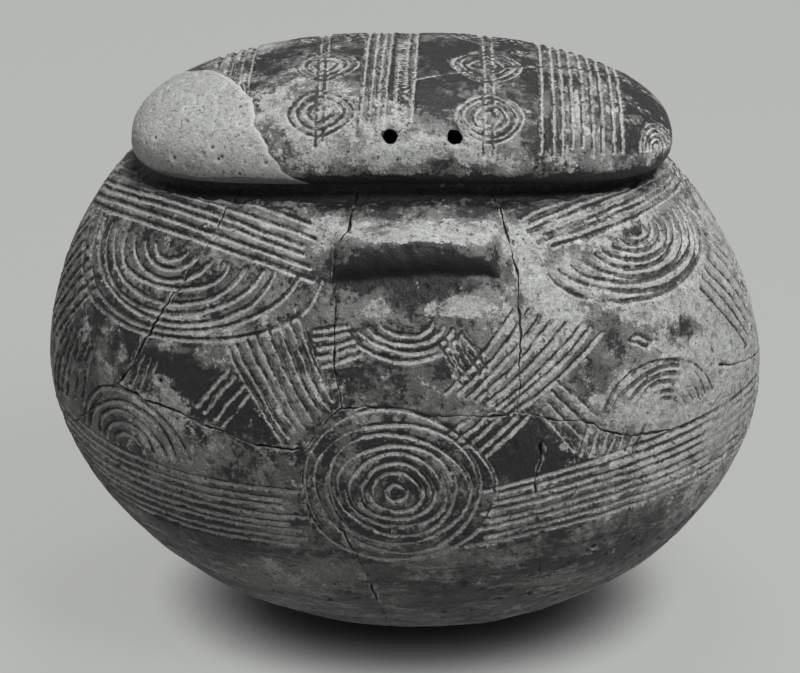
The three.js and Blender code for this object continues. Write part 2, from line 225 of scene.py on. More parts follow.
# Where the wall reaches the rim, and below it where the inner face reaches the mouth
tableTurns = np.arange(-180.0, 181.0)
tableLow = np.full_like(tableTurns, pot["widest"])
rimTable = bisect(tableLow, tableLow + upperRiseDeep,
                  lambda height: height < rimSurface(shellPoint(tableTurns, height)[:, 0]))
frontTurn, rightTurn = 180, 270  # places of 0 and 90 degrees in the tables
seatDrift = pot["lean"] * (pot["seat"] - pot["widest"])
mouthHalfLength = shellPoint(90.0, rimTable[rightTurn])[0] - seatDrift - pot["rimWidth"]
mouthHalfDepth = -shellPoint(0.0, rimTable[frontTurn])[1] - pot["rimWidth"]


def isInsideWall(height):
    point = shellPoint(tableTurns, height, pot["wall"])
    along = (point[:, 0] - seatDrift) / mouthHalfLength
    return along**2 + (point[:, 1] / mouthHalfDepth) ** 2 > 1


mouthTable = bisect(tableLow, tableLow + upperRiseDeep - pot["wall"], isInsideWall)


def wrapTurn(turn):
    return (turn + 180.0) % 360.0 - 180.0


def rimHeight(turn):
    return np.interp(wrapTurn(turn), tableTurns, rimTable)


def mouthHeight(turn):
    return np.interp(wrapTurn(turn), tableTurns, mouthTable)


# The inner face keeps the outer one's turn, and its height is drawn in towards the widest ring.
def innerPoint(turn, height):
    up = height - pot["widest"]
    upShare = (mouthHeight(turn) - pot["widest"]) / (rimHeight(turn) - pot["widest"])
    share = np.where(up < 0, (lowerRise - pot["wall"]) / lowerRise, upShare)
    return shellPoint(turn, pot["widest"] + up * share, pot["wall"])


def mmPerDegree(turn, height):
    halfLength, halfDepth = section(height)
    angle = np.radians(turn)
    return np.radians(1) * np.hypot(halfLength * np.cos(angle), halfDepth * np.sin(angle))


# Length from the start of a line of points to each of them.
def lengthAlong(points):
    return np.concatenate([[0], np.cumsum(np.linalg.norm(np.diff(points, axis=0), axis=1))])


# Outward direction of a grid of points: the cross product of its two gradients.
def gridNormals(points):
    down, across = np.gradient(points, axis=0), np.gradient(points, axis=1)
    normal = np.cross(across, down)
    return normal / np.maximum(np.linalg.norm(normal, axis=-1, keepdims=True), 1e-9)


# The incised lines. Rings are arcs of an oval round a place, from the inner share of the full
# size outwards, between two angles (0 right, 90 up), and less bulge makes them more like a
# lozenge. Lines run from places along the start rail to places along the stop rail, and may
# bow upwards in the middle.
def rings(count, at, size, inner, sweep=(0, 360), bulge=2):
    return {"count": count, "at": at, "size": size, "inner": inner, "sweep": sweep, "bulge": bulge}


def lines(count, start, stop, bow=0):
    return {"count": count, "start": start, "stop": stop, "bow": bow}


potMotifs = [
    rings(8, (-1.5, 85.3), (14.8, 28.2), 0.12),
    rings(9, (-47.5, 151.5), (33.0, 26.0), 0.12, (184, 356)),
    rings(5, (-48.5, 85.5), (13.5, 20.5), 0.25, (8, 176)),
    rings(4, (1.3, 141.0), (10.5, 12.6), 0.42, (205, 335)),
    rings(9, (53.0, 154.5), (25.5, 18.0), 0.1, (199, 362)),
    rings(6, (44.5, 100.5), (12.6, 17.8), 0.3, (6, 172)),
    lines(6, ((-97, 158), (-88, 148)), ((-17, 163), (-15, 149.2)), bow=7),
    lines(8, ((-99, 116), (-77, 106)), ((-84, 144), (-64, 132))),
    lines(6, ((-78, 88), (-62, 94)), ((-70, 117), (-60, 116))),
    lines(8, ((-29, 127.6), (-17.7, 141.4)), ((-19.2, 102), (-10.6, 115))),
    lines(4, ((-34, 108), (-28.5, 103.5)), ((-28.8, 122), (-24.5, 114.5))),
    lines(5, ((-14.4, 136), (-12.6, 126)), ((-8.6, 138), (-6.6, 130))),
    lines(4, ((-50, 108.5), (-44.5, 107)), ((-48, 120), (-43, 118.5))),
    lines(8, ((-17.5, 83.5), (-19, 61)), ((-92, 90), (-92, 65)), bow=-3),
    lines(8, ((14, 86), (11, 63.6)), ((88, 90), (88, 65)), bow=6),
    lines(5, ((19.6, 109), (10.5, 110.5)), ((12.6, 97.5), (6.8, 105))),
    lines(8, ((20.5, 141), (36, 131)), ((7.5, 119), (17.6, 111))),
    lines(4, ((25.6, 119), (21.8, 110)), ((31.5, 106), (26.6, 96))),
    lines(7, ((29.5, 103), (40, 99)), ((27.8, 94), (37.5, 90.5))),
    lines(4, ((6.6, 133), (11, 136)), ((9.6, 120.5), (14.4, 125))),
    lines(6, ((27, 163.5), (30, 155.5)), ((70, 167), (93, 156)), bow=2),
    lines(7, ((80, 147), (63, 132)), ((90, 119), (74, 106))),
    lines(2, ((41, 126), (44.2, 122.8)), ((43, 127), (45.8, 123.8))),
    lines(2, ((41, 126), (43, 127)), ((44.2, 122.8), (45.8, 123.8))),
]
lidMotifs = [
    *[rings(3, at, size, 0.36, bulge=1.6)
      for at, size in (((-25.6, 41), (10.4, 17.5)), ((-24.2, 81), (9.9, 14.5)),
                       ((-23.5, 124), (10.4, 17.0)))],
    *[rings(4, at, size, 0.26, bulge=1.7)
      for at, size in (((27.6, 38), (10.9, 19.0)), ((27.0, 82), (11.3, 15.5)),
                       ((28.0, 125), (11.4, 17.5)))],
    lines(2, ((-26.9, 16), (-24.7, 16)), ((-26.6, 163), (-24.2, 163))),
    lines(2, ((25.8, 12), (28.4, 12)), ((25.8, 163), (28.6, 163))),
    lines(7, ((-14.2, 22), (2.8, 30)), ((-10.2, 158), (5.6, 158))),
    lines(9, ((43.8, 12), (70.5, 15)), ((45.5, 162), (70, 156))),
    lines(4, ((-60.4, 72), (-49.6, 58)), ((-58.5, 160), (-47.5, 160))),
    rings(5, (82.2, 14), (6.0, 42), 0.24, (0, 180)),
    lines(1, ((5.2, 67), (5.2, 67)), ((72.5, 107), (72.5, 107)), bow=-2),
]


# A ring follows a cosine and a sine of one angle, a little out of round.
def ringStroke(motif, part, share, rng):
    angle = np.radians(motif["sweep"][0] + share * np.ptp(motif["sweep"]))
    size = motif["inner"] + (1 - motif["inner"]) * part
    size = size * (1 + 0.03 * np.sin(3 * angle + rng.uniform(0, 6)))
    flat = 2 / motif["bulge"]
    return [middle + half * size * np.sign(wave) * np.abs(wave) ** flat
            for middle, half, wave in zip(motif["at"], motif["size"], (np.cos(angle), np.sin(angle)))]


# A line runs straight between its rails, or bows by a parabola, and its ends don't quite meet
# the rails.
def lineStroke(motif, part, share, rng):
    start, stop = (np.array(rail[0]) * (1 - part) + np.array(rail[1]) * part
                   for rail in (motif["start"], motif["stop"]))
    cut = rng.uniform(-0.03, 0.035, 2)
    run = cut[0] + share * (1 - cut[0] + cut[1])
    bow = motif["bow"] * 4 * run * (1 - run)
    return [start[0] + (stop[0] - start[0]) * run, start[1] + (stop[1] - start[1]) * run + bow]


# Each stroke wanders a little, as a hand does: slow sine waves with random starts.
def strokePlaces(motifs, surface, seed, wobble):
    rng = np.random.default_rng(seed)
    places = []
    share = np.linspace(0, 1, 400)
    for motif in motifs:
        count = motif["count"]
        stroke = ringStroke if "sweep" in motif else lineStroke
        for index in range(count):
            part = index / max(count - 1, 1) + rng.uniform(-0.14, 0.14) / max(count - 1, 1)
            first, second = stroke(motif, part, share, rng)
            for target in (first, second):
                for waves in (1.3, 3.7, 8.0):
                    wave = np.sin(waves * 2 * np.pi * share + rng.uniform(0, 6))
                    target += wobble * wave / (1 + 0.4 * waves)
            length = lengthAlong(surface(first, second))
            fine = np.linspace(0, length[-1], max(int(length[-1] / groove["step"]), 8))
            places.append(np.stack([np.interp(fine, length, first),
                                    np.interp(fine, length, second)], axis=1))
    return np.concatenate(places)


# A map of the distance from the surface to the nearest stroke. Every stroke point offers its
# real distance to the grid places around it, and each place keeps the least.
def grooveMap(surface, first, second, places, window, wraps):
    gridFirst, gridSecond = np.meshgrid(first, second)
    cells = surface(gridFirst, gridSecond)
    field = np.full(gridFirst.shape, groove["far"])
    points = surface(places[:, 0], places[:, 1])
    column = np.rint((places[:, 0] - first[0]) / (first[1] - first[0])).astype(int)
    row = np.rint((places[:, 1] - second[0]) / (second[1] - second[0])).astype(int)
    for down in range(-window[1], window[1] + 1):
        for across in range(-window[0], window[0] + 1):
            at = column + across
            at = at % (len(first) - 1) if wraps else np.clip(at, 0, len(first) - 1)
            below = np.clip(row + down, 0, len(second) - 1)
            gap = np.linalg.norm(cells[below, at] - points, axis=1)
            np.minimum.at(field, (below, at), gap)
    if wraps:
        field[:, -1] = field[:, 0]
    return first, second, field


# Reads a map between its places, by blending the four around each point.
def readMap(fieldMap, first, second):
    gridFirst, gridSecond, field = fieldMap
    x = np.clip((first - gridFirst[0]) / (gridFirst[1] - gridFirst[0]), 0, len(gridFirst) - 1.001)
    y = (second - gridSecond[0]) / (gridSecond[1] - gridSecond[0])
    inside = (y >= 0) & (y <= len(gridSecond) - 1)
    y = np.clip(y, 0, len(gridSecond) - 1.001)
    column, row = np.floor(x).astype(int), np.floor(y).astype(int)
    fx, fy = x - column, y - row
    value = (
        field[row, column] * (1 - fx) * (1 - fy) + field[row, column + 1] * fx * (1 - fy)
        + field[row + 1, column] * (1 - fx) * fy + field[row + 1, column + 1] * fx * fy
    )
    return np.where(inside, value, groove["far"])


# Distance to the strokes, and to the painted shade line just above and beside each one.
def grooveReads(fieldMap, turn, height, normals):
    up = groove["shadeUp"] * np.sqrt(1 - normals[..., 2] ** 2)
    aside = groove["shadeAside"] / mmPerDegree(turn, height)
    shaded = readMap(fieldMap, wrapTurn(turn + aside), height - up)
    return readMap(fieldMap, wrapTurn(turn), height), shaded


frontPlaces = strokePlaces(potMotifs, shellPoint, 11, 0.16)
backPlaces = strokePlaces(potMotifs, shellPoint, 23, 0.2) + [180.0, 0.0]
potPlaces = np.concatenate([frontPlaces, backPlaces])
potPlaces[:, 0] = wrapTurn(potPlaces[:, 0])
potMap = grooveMap(shellPoint, np.linspace(-180, 180, 1601), np.linspace(40, 171, 440),
                   potPlaces, (8, 7), True)
print("pot grooves mapped", len(potPlaces))


# The lid's outer face: the plan is a superellipse, and the dome falls from its top to the edge
# by the share of the way out. Rows on the seat and the rounded edge have no dome.
def lidSurface(u, over, inset=0.0, lift=None, dome=1.0, drop=0.0):
    lift = lid["edge"] if lift is None else lift
    flat = 2 / lid["outline"]
    cosine, sine = np.cos(u), np.sin(u)
    x = lid["middle"] - (lid["halfLength"] - inset) * np.sign(cosine) * np.abs(cosine) ** flat
    side = (lid["halfDepth"] - inset) * power(sine, flat)
    y = -side * np.cos(over)
    reach = (cosine**2 + sine**2 * np.abs(np.cos(over)) ** lid["outline"]) ** (1 / lid["outline"])
    inward = np.clip(1 - reach ** lid["bend"], 0, 1)
    swell = inward ** (1 / lid["bend"])
    share = 2 / np.pi * np.arcsin(np.sqrt(inward))
    z = seamHeight(x) + lift + dome * lid["rise"] * swell - drop * lid["wall"] * share
    return np.stack([x, y, z], axis=-1)


def alongToU(along):
    share = np.clip(along / lid["halfLength"], -1, 1)
    return np.arccos(-np.sign(share) * np.abs(share) ** (lid["outline"] / 2))


def lidPlacePoint(along, over):
    return lidSurface(alongToU(np.asarray(along, float)), np.radians(over))


lidMap = grooveMap(lidPlacePoint, np.linspace(-88, 88, 441), np.linspace(0, 180, 361),
                   strokePlaces(lidMotifs, lidPlacePoint, 31, 0.14), (6, 9), False)
print("lid grooves mapped")

# Where the clay is dark and burnished (below 0) or pale and worn (above 0), and where a lime
# crust covers it, as soft spots: [degrees round, height, half width, half height, amount]. On the
# lid they lie at [mm along, degrees over]. Two dark spots below the front lug are painted shadow.
potTones = [
    (-37, 118, 8.5, 8.5, -1.1), (-58, 122, 8, 10, -1.1), (-24, 107, 5, 8, -1.1),
    (16, 98, 5, 8, -1.8), (24, 97, 3.2, 8, -1.6), (15, 91, 4.5, 4.5, -1.0),
    # These two dark spots are painted shadow on the wall under the front lug.
    (-4, 150.4, 7, 3, -1.2), (10, 150, 8, 3, -1.2),
    (5.5, 156.2, 4.5, 1.4, -1.0), (2, 167, 18, 1.8, -0.5),
    (-5, 121, 5.5, 6.5, -0.6), (11, 125, 4.5, 5, -0.6), (38, 126, 6.5, 11, -0.2),
    (55, 124, 4.6, 5.5, -0.2), (-40, 60, 12, 9, -1.4), (3, 36, 30, 11, -0.4),
    (45, 51, 18, 8, -0.7), (-1.5, 87, 12, 22, -0.4), (-24, 44, 9, 9, 0.7), (10, 68, 14, 5, -0.4),
    (-80, 90, 14, 20, 0.2), (34, 97, 5, 5, -0.9),
]
potCrusts = [
    (6, 159.5, 16, 2.5, 0.6), (5.5, 156.2, 4.5, 1.4, -0.6), (25, 158, 4, 7, 0.7),
    (42, 159, 13, 4, 0.7), (30, 146, 7, 5, 0.8),
    (50, 141, 14, 9, 0.75), (63, 129, 11, 13, 0.8), (71, 114, 9, 16, 0.8), (43, 110, 11, 9, 0.8),
    (46, 98, 12, 10, 0.8), (59, 90, 10, 11, 0.6), (11, 143, 6, 3.2, 0.7), (-5, 142.5, 3.5, 3, 0.6),
    (-13.5, 160, 4, 7, 0.5), (-38, 133, 9, 4, 0.6), (-45, 105, 7, 6, 0.55), (-43, 95, 11, 10, 0.4),
    (-24, 44, 8, 8, 0.6), (25, 135, 6, 10, 0.5), (-30, 158, 11, 5, 0.2), (38, 126, 6, 10, -0.5),
    (55, 124, 4, 5, -0.8), (90, 118, 22, 40, 0.6), (60, 120, 34, 40, 0.35),
    (2, 165.5, 14, 3, 0.3), (62, 80, 30, 12, 0.4),
    (45, 98, 16, 14, 0.3), (-64, 116, 1.5, 1.5, 0.8),
    (-57, 122, 1.4, 1.4, 0.8), (-57.5, 114, 1.2, 1.9, 0.8), (-51, 118, 1.3, 3, 0.7),
    (-41.8, 113.2, 1.9, 2.3, 0.9), (-39.5, 108.6, 1.9, 2.2, 0.9), (-40, 124.5, 6.5, 1.8, 0.5),
    (70, 60, 14, 10, 0.6), (40, 46, 6, 4, 0.3), (-4, 50, 14, 5, 0.25), (13, 116, 4, 4, 0.4),
    (-27, 126, 6, 8, 0.3), (-14, 118, 4, 9, 0.3), (34, 97, 5, 5, -0.7),
    (17, 96, 6, 9, -0.5), (58, 32, 16, 9, 0.4),
]
lidTones = [
    (13, 78, 8, 22, -1.3), (38.6, 64, 5, 22, -1.0), (-33, 76, 9, 8, -0.6), (78, 72, 7, 32, -1.2),
    (46, 24, 6, 9, -0.9), (-40, 95, 12, 12, -0.8), (73, 30, 4, 18, -0.9), (-8, 95, 12, 20, -0.6),
    (20, 108, 40, 32, -0.7), (22, 9, 8, 5, -0.8), (-8, 70, 12, 14, -0.5),
    (25, 70, 34, 45, -0.2),
]
lidCrusts = [
    (-30, 40, 16, 30, 0.6), (-7.5, 20, 12, 14, 0.7), (10, 17, 8, 9, 0.7), (24, 14, 8, 8, 0.4),
    (57, 60, 13, 46, 0.5), (-54, 110, 9, 50, 0.4), (-41, 47, 9, 16, 0.4),
    (29, 38, 12, 16, 0.35), (0, 7, 95, 8, 0.4),
    (-6, 45, 10, 24, 0.3), (82, 20, 6, 30, 0.5), (-25, 82, 9, 12, 0.5), (28, 82, 10, 12, 0.3),
    (0, 130, 100, 40, 0.15), (22, 70, 36, 45, -0.16),
]


# A sum of bell curves round the spots.
def spotSum(spots, first, second, wraps):
    total = np.zeros(np.shape(first))
    for middle, height, halfWidth, halfHeight, amount in spots:
        across = wrapTurn(first - middle) if wraps else first - middle
        reach = (across / halfWidth) ** 2 + ((second - height) / halfHeight) ** 2
        total += amount * np.exp(-reach)
    return total


def potSpots(spots, turn, height):
    return spotSum(spots, turn, height, True) + 0.8 * spotSum(spots, turn + 180, height, True)


cracks = {
    "leftEnd": [(-38, 1), (-37.6, 0.955), (-39.8, 0.9), (-44.8, 0.782), (-47.2, 0.716),
                (-51.4, 0.64), (-54.9, 0.608), (-59.9, 0.555), (-66.3, 0.51), (-71.5, 0.481)],
    "leftOfLug": [(-9.2, 1), (-9.3, 0.972), (-9.8, 0.938), (-11.9, 0.913), (-11.4, 0.862),
                  (-11, 0.793), (-10.4, 0.736), (-9.7, 0.661)],
    "rightOfLug": [(23, 1), (22.9, 0.955), (22.6, 0.88), (21.4, 0.832), (19.7, 0.75),
                   (18.5, 0.681), (17.9, 0.649)],
    "backLeft": [(-133, 1), (-132, 0.94), (-137, 0.83), (-133, 0.74), (-136, 0.64), (-134, 0.54)],
    "backRight": [(129, 1), (130, 0.93), (126, 0.84), (131, 0.74), (127, 0.65), (129, 0.575)],
    "belowLeft": [(-51.4, 0.64), (-46.9, 0.624), (-37.4, 0.62), (-30.3, 0.601), (-24, 0.579),
                  (-15.6, 0.581)],
    "belowLug": [(-15.6, 0.581), (-11.3, 0.641), (-9.7, 0.661), (-5.8, 0.67), (-0.4, 0.664),
                 (3.3, 0.647), (17.9, 0.649), (21.6, 0.635)],
    "belowRight": [(21.6, 0.635), (29.7, 0.609), (36.9, 0.567), (49.6, 0.553), (55.5, 0.563),
                   (60, 0.594), (60.1, 0.648), (66.6, 0.629), (76.6, 0.606), (86.1, 0.574),
                   (101, 0.585), (116, 0.55), (129, 0.575)],
    "belowBack": [(129, 0.575), (141, 0.6), (156, 0.572), (170, 0.54), (186, 0.557),
                  (201, 0.592), (214, 0.575), (226, 0.54)],
    "belowLeftEnd": [(-134, 0.54), (-122, 0.488), (-106, 0.465), (-90, 0.46), (-80, 0.466),
                     (-71.5, 0.481)],
    "foot": [(-160, 0.071), (-130, 0.064), (-100, 0.075), (-70, 0.066), (-38, 0.072),
             (-8, 0.062), (22, 0.066), (50, 0.072), (80, 0.062), (110, 0.074), (135, 0.063),
             (170, 0.069), (200, 0.071), (230, 0.064)],
    "lowerLeft": [(-15.6, 0.581), (-16.2, 0.47), (-14.1, 0.439), (-10.7, 0.414), (-9, 0.345),
                  (-7.4, 0.244), (-6.7, 0.161), (-8, 0.062)],
    "lowerRight": [(21.6, 0.635), (20.8, 0.548), (20.2, 0.507), (20.5, 0.417), (21.2, 0.366),
                   (24.5, 0.213), (22, 0.066)],
    "lowerBackRight": [(116, 0.55), (120, 0.45), (115, 0.33), (118, 0.2), (110, 0.074)],
    "lowerBackLeft": [(-122, 0.488), (-126, 0.4), (-121, 0.3), (-127, 0.18), (-130, 0.064)],
}


def around(route):
    return [(turn + 360, level) for turn, level in route]


def stretch(name, start, stop):
    route = cracks[name]
    return route[route.index(start):route.index(stop) + 1]


def rimRoute(start, stop):
    return [(start, 1), (stop, 1)]


filledSides = {"lower_front_sherd": ("left", "right"), "lower_left_sherd": ("right",),
               "lower_right_sherd": ("left",)}
leftJoin, lugLeft, lugRight, rightJoin = (-51.4, 0.64), (-9.7, 0.661), (17.9, 0.649), (116, 0.55)


# A sherd is a four-sided patch. Its left and right sides are cracks that run down from the rim or
# from another crack, turned round here to run upwards. The other two run rightwards.
def sherdBetween(left, right, bottom, top):
    return {"left": left[::-1], "right": right[::-1], "bottom": bottom, "top": top}


sherds = {
    "front_lug_sherd": sherdBetween(
        cracks["leftOfLug"], cracks["rightOfLug"], stretch("belowLug", lugLeft, lugRight),
        rimRoute(-9.2, 23)),
    "front_left_sherd": sherdBetween(
        stretch("leftEnd", (-38, 1), leftJoin), cracks["leftOfLug"],
        cracks["belowLeft"] + stretch("belowLug", (-15.6, 0.581), lugLeft)[1:],
        rimRoute(-38, -9.2)),
    "left_side_sherd": sherdBetween(
        cracks["backLeft"], cracks["leftEnd"], cracks["belowLeftEnd"], rimRoute(-133, -38)),
    "right_side_sherd": sherdBetween(
        cracks["rightOfLug"], cracks["backRight"], [lugRight] + cracks["belowRight"],
        rimRoute(23, 129)),
    "back_lug_sherd": sherdBetween(
        cracks["backRight"], around(cracks["backLeft"]), cracks["belowBack"],
        rimRoute(129, 227)),
    "lower_front_sherd": sherdBetween(
        cracks["lowerLeft"], cracks["lowerRight"], stretch("foot", (-8, 0.062), (22, 0.066)),
        cracks["belowLug"]),
    "lower_right_sherd": sherdBetween(
        cracks["lowerRight"], cracks["lowerBackRight"],
        stretch("foot", (22, 0.066), (110, 0.074)),
        stretch("belowRight", (21.6, 0.635), rightJoin)),
    "lower_back_sherd": sherdBetween(
        cracks["lowerBackRight"], around(cracks["lowerBackLeft"]),
        stretch("foot", (110, 0.074), (230, 0.064)),
        stretch("belowRight", rightJoin, (129, 0.575)) + cracks["belowBack"][1:]
        + around(stretch("belowLeftEnd", (-134, 0.54), (-122, 0.488)))[1:]),
    "lower_left_sherd": sherdBetween(
        cracks["lowerBackLeft"], cracks["lowerLeft"],
        stretch("foot", (-130, 0.064), (-8, 0.062)),
        stretch("belowLeftEnd", (-122, 0.488), (-71.5, 0.481))
        + stretch("leftEnd", leftJoin, (-71.5, 0.481))[::-1][1:] + cracks["belowLeft"][1:]),
}
crackLook = {"gap": 0.11, "filledGap": 0.05, "lidGap": 0.1, "pullFrom": 2.0, "wander": 0.75,
             "round": 0.5, "chip": 1.6, "far": 4.0}
# Stretches of the wall's level, or of the lug's rise in mm, over which things fade in.
# One of these spans sets where the painted shade under the lid fades in on the ledge.
fades = {"rimTurn": (0.93, 1.0), "ledge": (0.97, 0.994), "paintedShadeReach": (0.983, 0.995),
         "belowRim": (0.004, 0.015), "onLug": (0.2, 0.6)}


# A crack wanders: each place slides along the wall by smooth noise at its own point, so that
# both sherds share it. The slide fades out at the rim and at the foot.
def wander(turn, level):
    height = level * rimHeight(turn)
    spot = shellPoint(turn, height)
    fade = smoothStep(1 - level, 0.0, 0.03) * smoothStep(level, 0.0, 0.04)
    sideways = crackLook["wander"] * uneven(spot, "crackAcross") / mmPerDegree(turn, height)
    upwards = crackLook["wander"] * uneven(spot, "crackUp") / pot["seat"]
    return turn + sideways, level + fade * upwards


# Places spaced evenly along a route by real length, and that length.
def evenRoute(route, count):
    corners = np.array(route, float)
    knots = np.linspace(0, len(corners) - 1, 40 * (len(corners) - 1) + 1)
    turn, level = (np.interp(knots, np.arange(len(corners)), values) for values in corners.T)
    length = lengthAlong(shellPoint(turn, level * rimHeight(turn)))
    at = np.linspace(0, length[-1], count + 1)
    return np.stack([np.interp(at, length, turn), np.interp(at, length, level)], axis=1), length[-1]


# A patch between four routes: the blend of bottom and top plus the blend of left and right,
# less the blend of the four corners.
def patchPlaces(sherd, step):
    lengths = {side: evenRoute(sherd[side], 4)[1] for side in ("left", "right", "bottom", "top")}
    columns = int(max(lengths["bottom"], lengths["top"]) / step)
    tall = max(lengths["left"], lengths["right"])
    inner = max(int(tall / surfaceStep["inside"]), 4)
    rows = inner * max(int(tall / step / inner), 2)
    s = np.linspace(0, 1, columns + 1)[None, :, None]
    t = np.linspace(0, 1, rows + 1)[:, None, None]
    bottom, top = (evenRoute(sherd[side], columns)[0][None] for side in ("bottom", "top"))
    left, right = (evenRoute(sherd[side], rows)[0][:, None] for side in ("left", "right"))
    ends = ((1 - s) * (1 - t) * bottom[:, :1] + s * (1 - t) * bottom[:, -1:]
            + (1 - s) * t * top[:, :1] + s * t * top[:, -1:])
    places = (1 - t) * bottom + t * top + (1 - s) * left + s * right - ends
    return places[..., 0], places[..., 1], inner


# Distance along the grid to its first and last line, both ways.
def edgeDistances(points, axis):
    step = np.linalg.norm(np.diff(points, axis=axis), axis=-1)
    far = np.cumsum(step, axis=axis)
    zero = np.zeros_like(np.take(far, [0], axis=axis))
    near = np.concatenate([zero, far], axis=axis)
    return near, np.take(near, [-1], axis=axis) - near


# The lug is a bolster with ramps for its top, its front face, its underside and both ends. They
# meet in a soft least of the ramps and run into the wall in a fillet, a soft most with 0.
def lugRise(points, turn):
    middle = shellPoint(turn, pot["seat"] - lug["drop"])
    side = math.radians(turn)
    outward = np.array([math.sin(side), -math.cos(side), lug["tilt"]])
    outward = outward / np.linalg.norm(outward)
    along = np.cross([0, 0, 1], outward)
    along = along / np.linalg.norm(along)
    up = np.cross(outward, along)
    offset = points - middle
    aside = np.abs(offset @ along) + uneven(points, "lugEnds")
    above = offset @ up + lug["arch"] * aside**2 + uneven(points, "lugFaces")
    reach = lug["reach"] + uneven(points, "lugReach")
    reach = reach - smoothStep(uneven(points, "lugBites"), 0.3, 0.8)
    ramps = [reach * (1 - above / lug["upperHalf"]), reach + lug["frontSlope"] * above,
             lug["lowerSlope"] * (lug["lowerHalf"] + above),
             lug["endSlope"] * (lug["halfLength"] - aside)]
    nose = sum(np.exp(-np.clip(ramp, -30, 30) / lug["round"]) for ramp in ramps)
    rise = -lug["round"] * np.log(nose)
    rise = lug["fillet"] * np.log1p(np.exp(np.clip(rise, -30, 30) / lug["fillet"]))
    return rise * ((offset @ outward) > -30) * (rise > 0.02)


# How far the strokes are worn away, from 0 to 1: smooth noise, cut off below.
def grooveWear(points):
    return 0.8 * smoothStep(uneven(points, "grooveWear"), 0.2, 0.75)


# Groove profile: a round-bottomed cut below the face, with a low lip thrown up beside it. Depth
# and width change along the stroke.
def grooveRise(distance, points, wear):
    strength = (0.85 + uneven(points, "grooveDepth")) * (1 - wear)
    distance = np.maximum(distance + uneven(points, "grooveEdge"), 0)
    width = groove["halfWidth"] * (1 + uneven(points, "grooveWidth"))
    cut = power(1 - (distance / width) ** 2, 1.2)
    lip = np.exp(-(((distance - width - 0.3) / 0.3) ** 2))
    return strength * (groove["lip"] * lip - groove["depth"] * cut)


# The hand-made face: slow swells, small dents, grain and a few deep pits.
def clayRise(points):
    return uneven(points, "face") - 0.55 * smoothStep(uneven(points, "pits"), 0.55, 0.85)


# Cracks that were filled in again are shut in most places, by noise.
def filledCrack(distance, points, openBelow=-0.4):
    return distance + 0.6 * smoothStep(uneven(points, "crackShut"), openBelow, openBelow + 0.4)


# A crack's width changes along it, by noise that both of its sides share.
def crackWidth(points):
    return 0.3 + 1.9 * smoothStep(uneven(points, "crackWidth"), -0.15, 1.1)


# Single pits, as [degrees round, height, radius, depth]: a bell-shaped dent each.
potPits = [(-41.8, 113.2, 1.3, 1.6), (33.3, 53.9, 2.4, 1.6), (-55, 124, 0.9, 0.7),
           (-14.5, 43, 1.2, 0.9), (58, 44, 1.1, 0.8), (150, 120, 1.4, 1.2), (205, 60, 1.6, 1.2)]


def pitDistance(points, radiusShare, pits, surface):
    nearest = np.full(points.shape[:-1], 99.0)
    rise = np.zeros(points.shape[:-1])
    for first, second, radius, depth in pits:
        gap = np.linalg.norm(points - surface(first, second), axis=-1)
        rise -= depth * np.exp(-((gap / radius) ** 2))
        nearest = np.minimum(nearest, np.maximum(gap - radiusShare * radius, 0))
    return nearest, rise


def crackRise(distance, points):
    chip = smoothStep(uneven(points, "crackChips"), 0.1, 0.8)
    radius = crackLook["round"] + crackLook["chip"] * chip
    return -0.75 * radius * power(1 - distance / radius, 2)


def quadsOf(rows, columns, wrapsRows, wrapsColumns):
    row = np.arange(rows if wrapsRows else rows - 1)
    column = np.arange(columns if wrapsColumns else columns - 1)
    row, column = (grid.ravel() for grid in np.meshgrid(row, column, indexing="ij"))
    nextRow, nextColumn = (row + 1) % rows, (column + 1) % columns
    return np.stack([row * columns + column, row * columns + nextColumn,
                     nextRow * columns + nextColumn, nextRow * columns + column], axis=1)


# The skin of a piece whose rows run up the outer face and back down the inner one, closed on
# the sides that broke.
def skinOf(rows, columns, outer, inner, brokenSides):
    faces = [quadsOf(rows, columns, True, False)]
    for isLeft in brokenSides:
        faces += sideStrips(rows, columns, outer, inner, 0 if isLeft else columns - 1, isLeft)
    return faces


# On a broken side a strip joins a few outer rows to two inner rows, and one more closes the rim.
def sideStrips(rows, columns, outer, inner, column, isLeft):
    each = outer // inner
    first = np.arange(inner)[:, None]
    strip = np.concatenate([first * each + np.arange(each + 1)[None], rows - 2 - first,
                            rows - 1 - first], axis=1)
    strips = [strip]
    rim = np.arange(outer, rows - inner)
    if len(rim) > 2:
        strips.append(rim[None])
    return [(s if isLeft else s[:, ::-1]) * columns + column for s in strips]


def makePiece(name, points, faces, values, material):
    mesh = bpy.data.meshes.new(name)
    corners = np.concatenate([face.ravel() for face in faces])
    sizes = np.concatenate([np.full(len(face), face.shape[1]) for face in faces])
    starts = np.concatenate([[0], np.cumsum(sizes)[:-1]])
    mesh.vertices.add(len(points))
    mesh.vertices.foreach_set("co", (points / perMetre).astype(np.float32).ravel())
    mesh.loops.add(len(corners))
    mesh.loops.foreach_set("vertex_index", corners.astype(np.int32))
    mesh.polygons.add(len(sizes))
    mesh.polygons.foreach_set("loop_start", starts.astype(np.int32))
    mesh.update(calc_edges=True)
    for label, value in values.items():
        attribute = mesh.attributes.new(label, "FLOAT", "POINT")
        attribute.data.foreach_set("value", value.astype(np.float32).ravel())
    mesh.materials.append(material)
    piece = bpy.data.objects.new(name, mesh)
    bpy.context.scene.collection.objects.link(piece)
    return piece


# Merges the points that poles and ends bring together.
def weld(mesh, dropThin):
    edit = bmesh.new()
    edit.from_mesh(mesh)
    bmesh.ops.remove_doubles(edit, verts=edit.verts, dist=2e-6)
    if dropThin:
        bmesh.ops.dissolve_degenerate(edit, edges=edit.edges, dist=1e-7)
    edit.to_mesh(mesh)
    edit.free()


# Smooth shading keeps the edges of breaks sharp.
def finishPiece(piece, node, body):
    weld(piece.data, True)
    piece.data.shade_smooth()
    piece.data.set_sharp_from_angle(angle=math.radians(58))
    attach(piece, body)
    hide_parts(node)
    print("built", piece.name, len(piece.data.polygons), "faces")


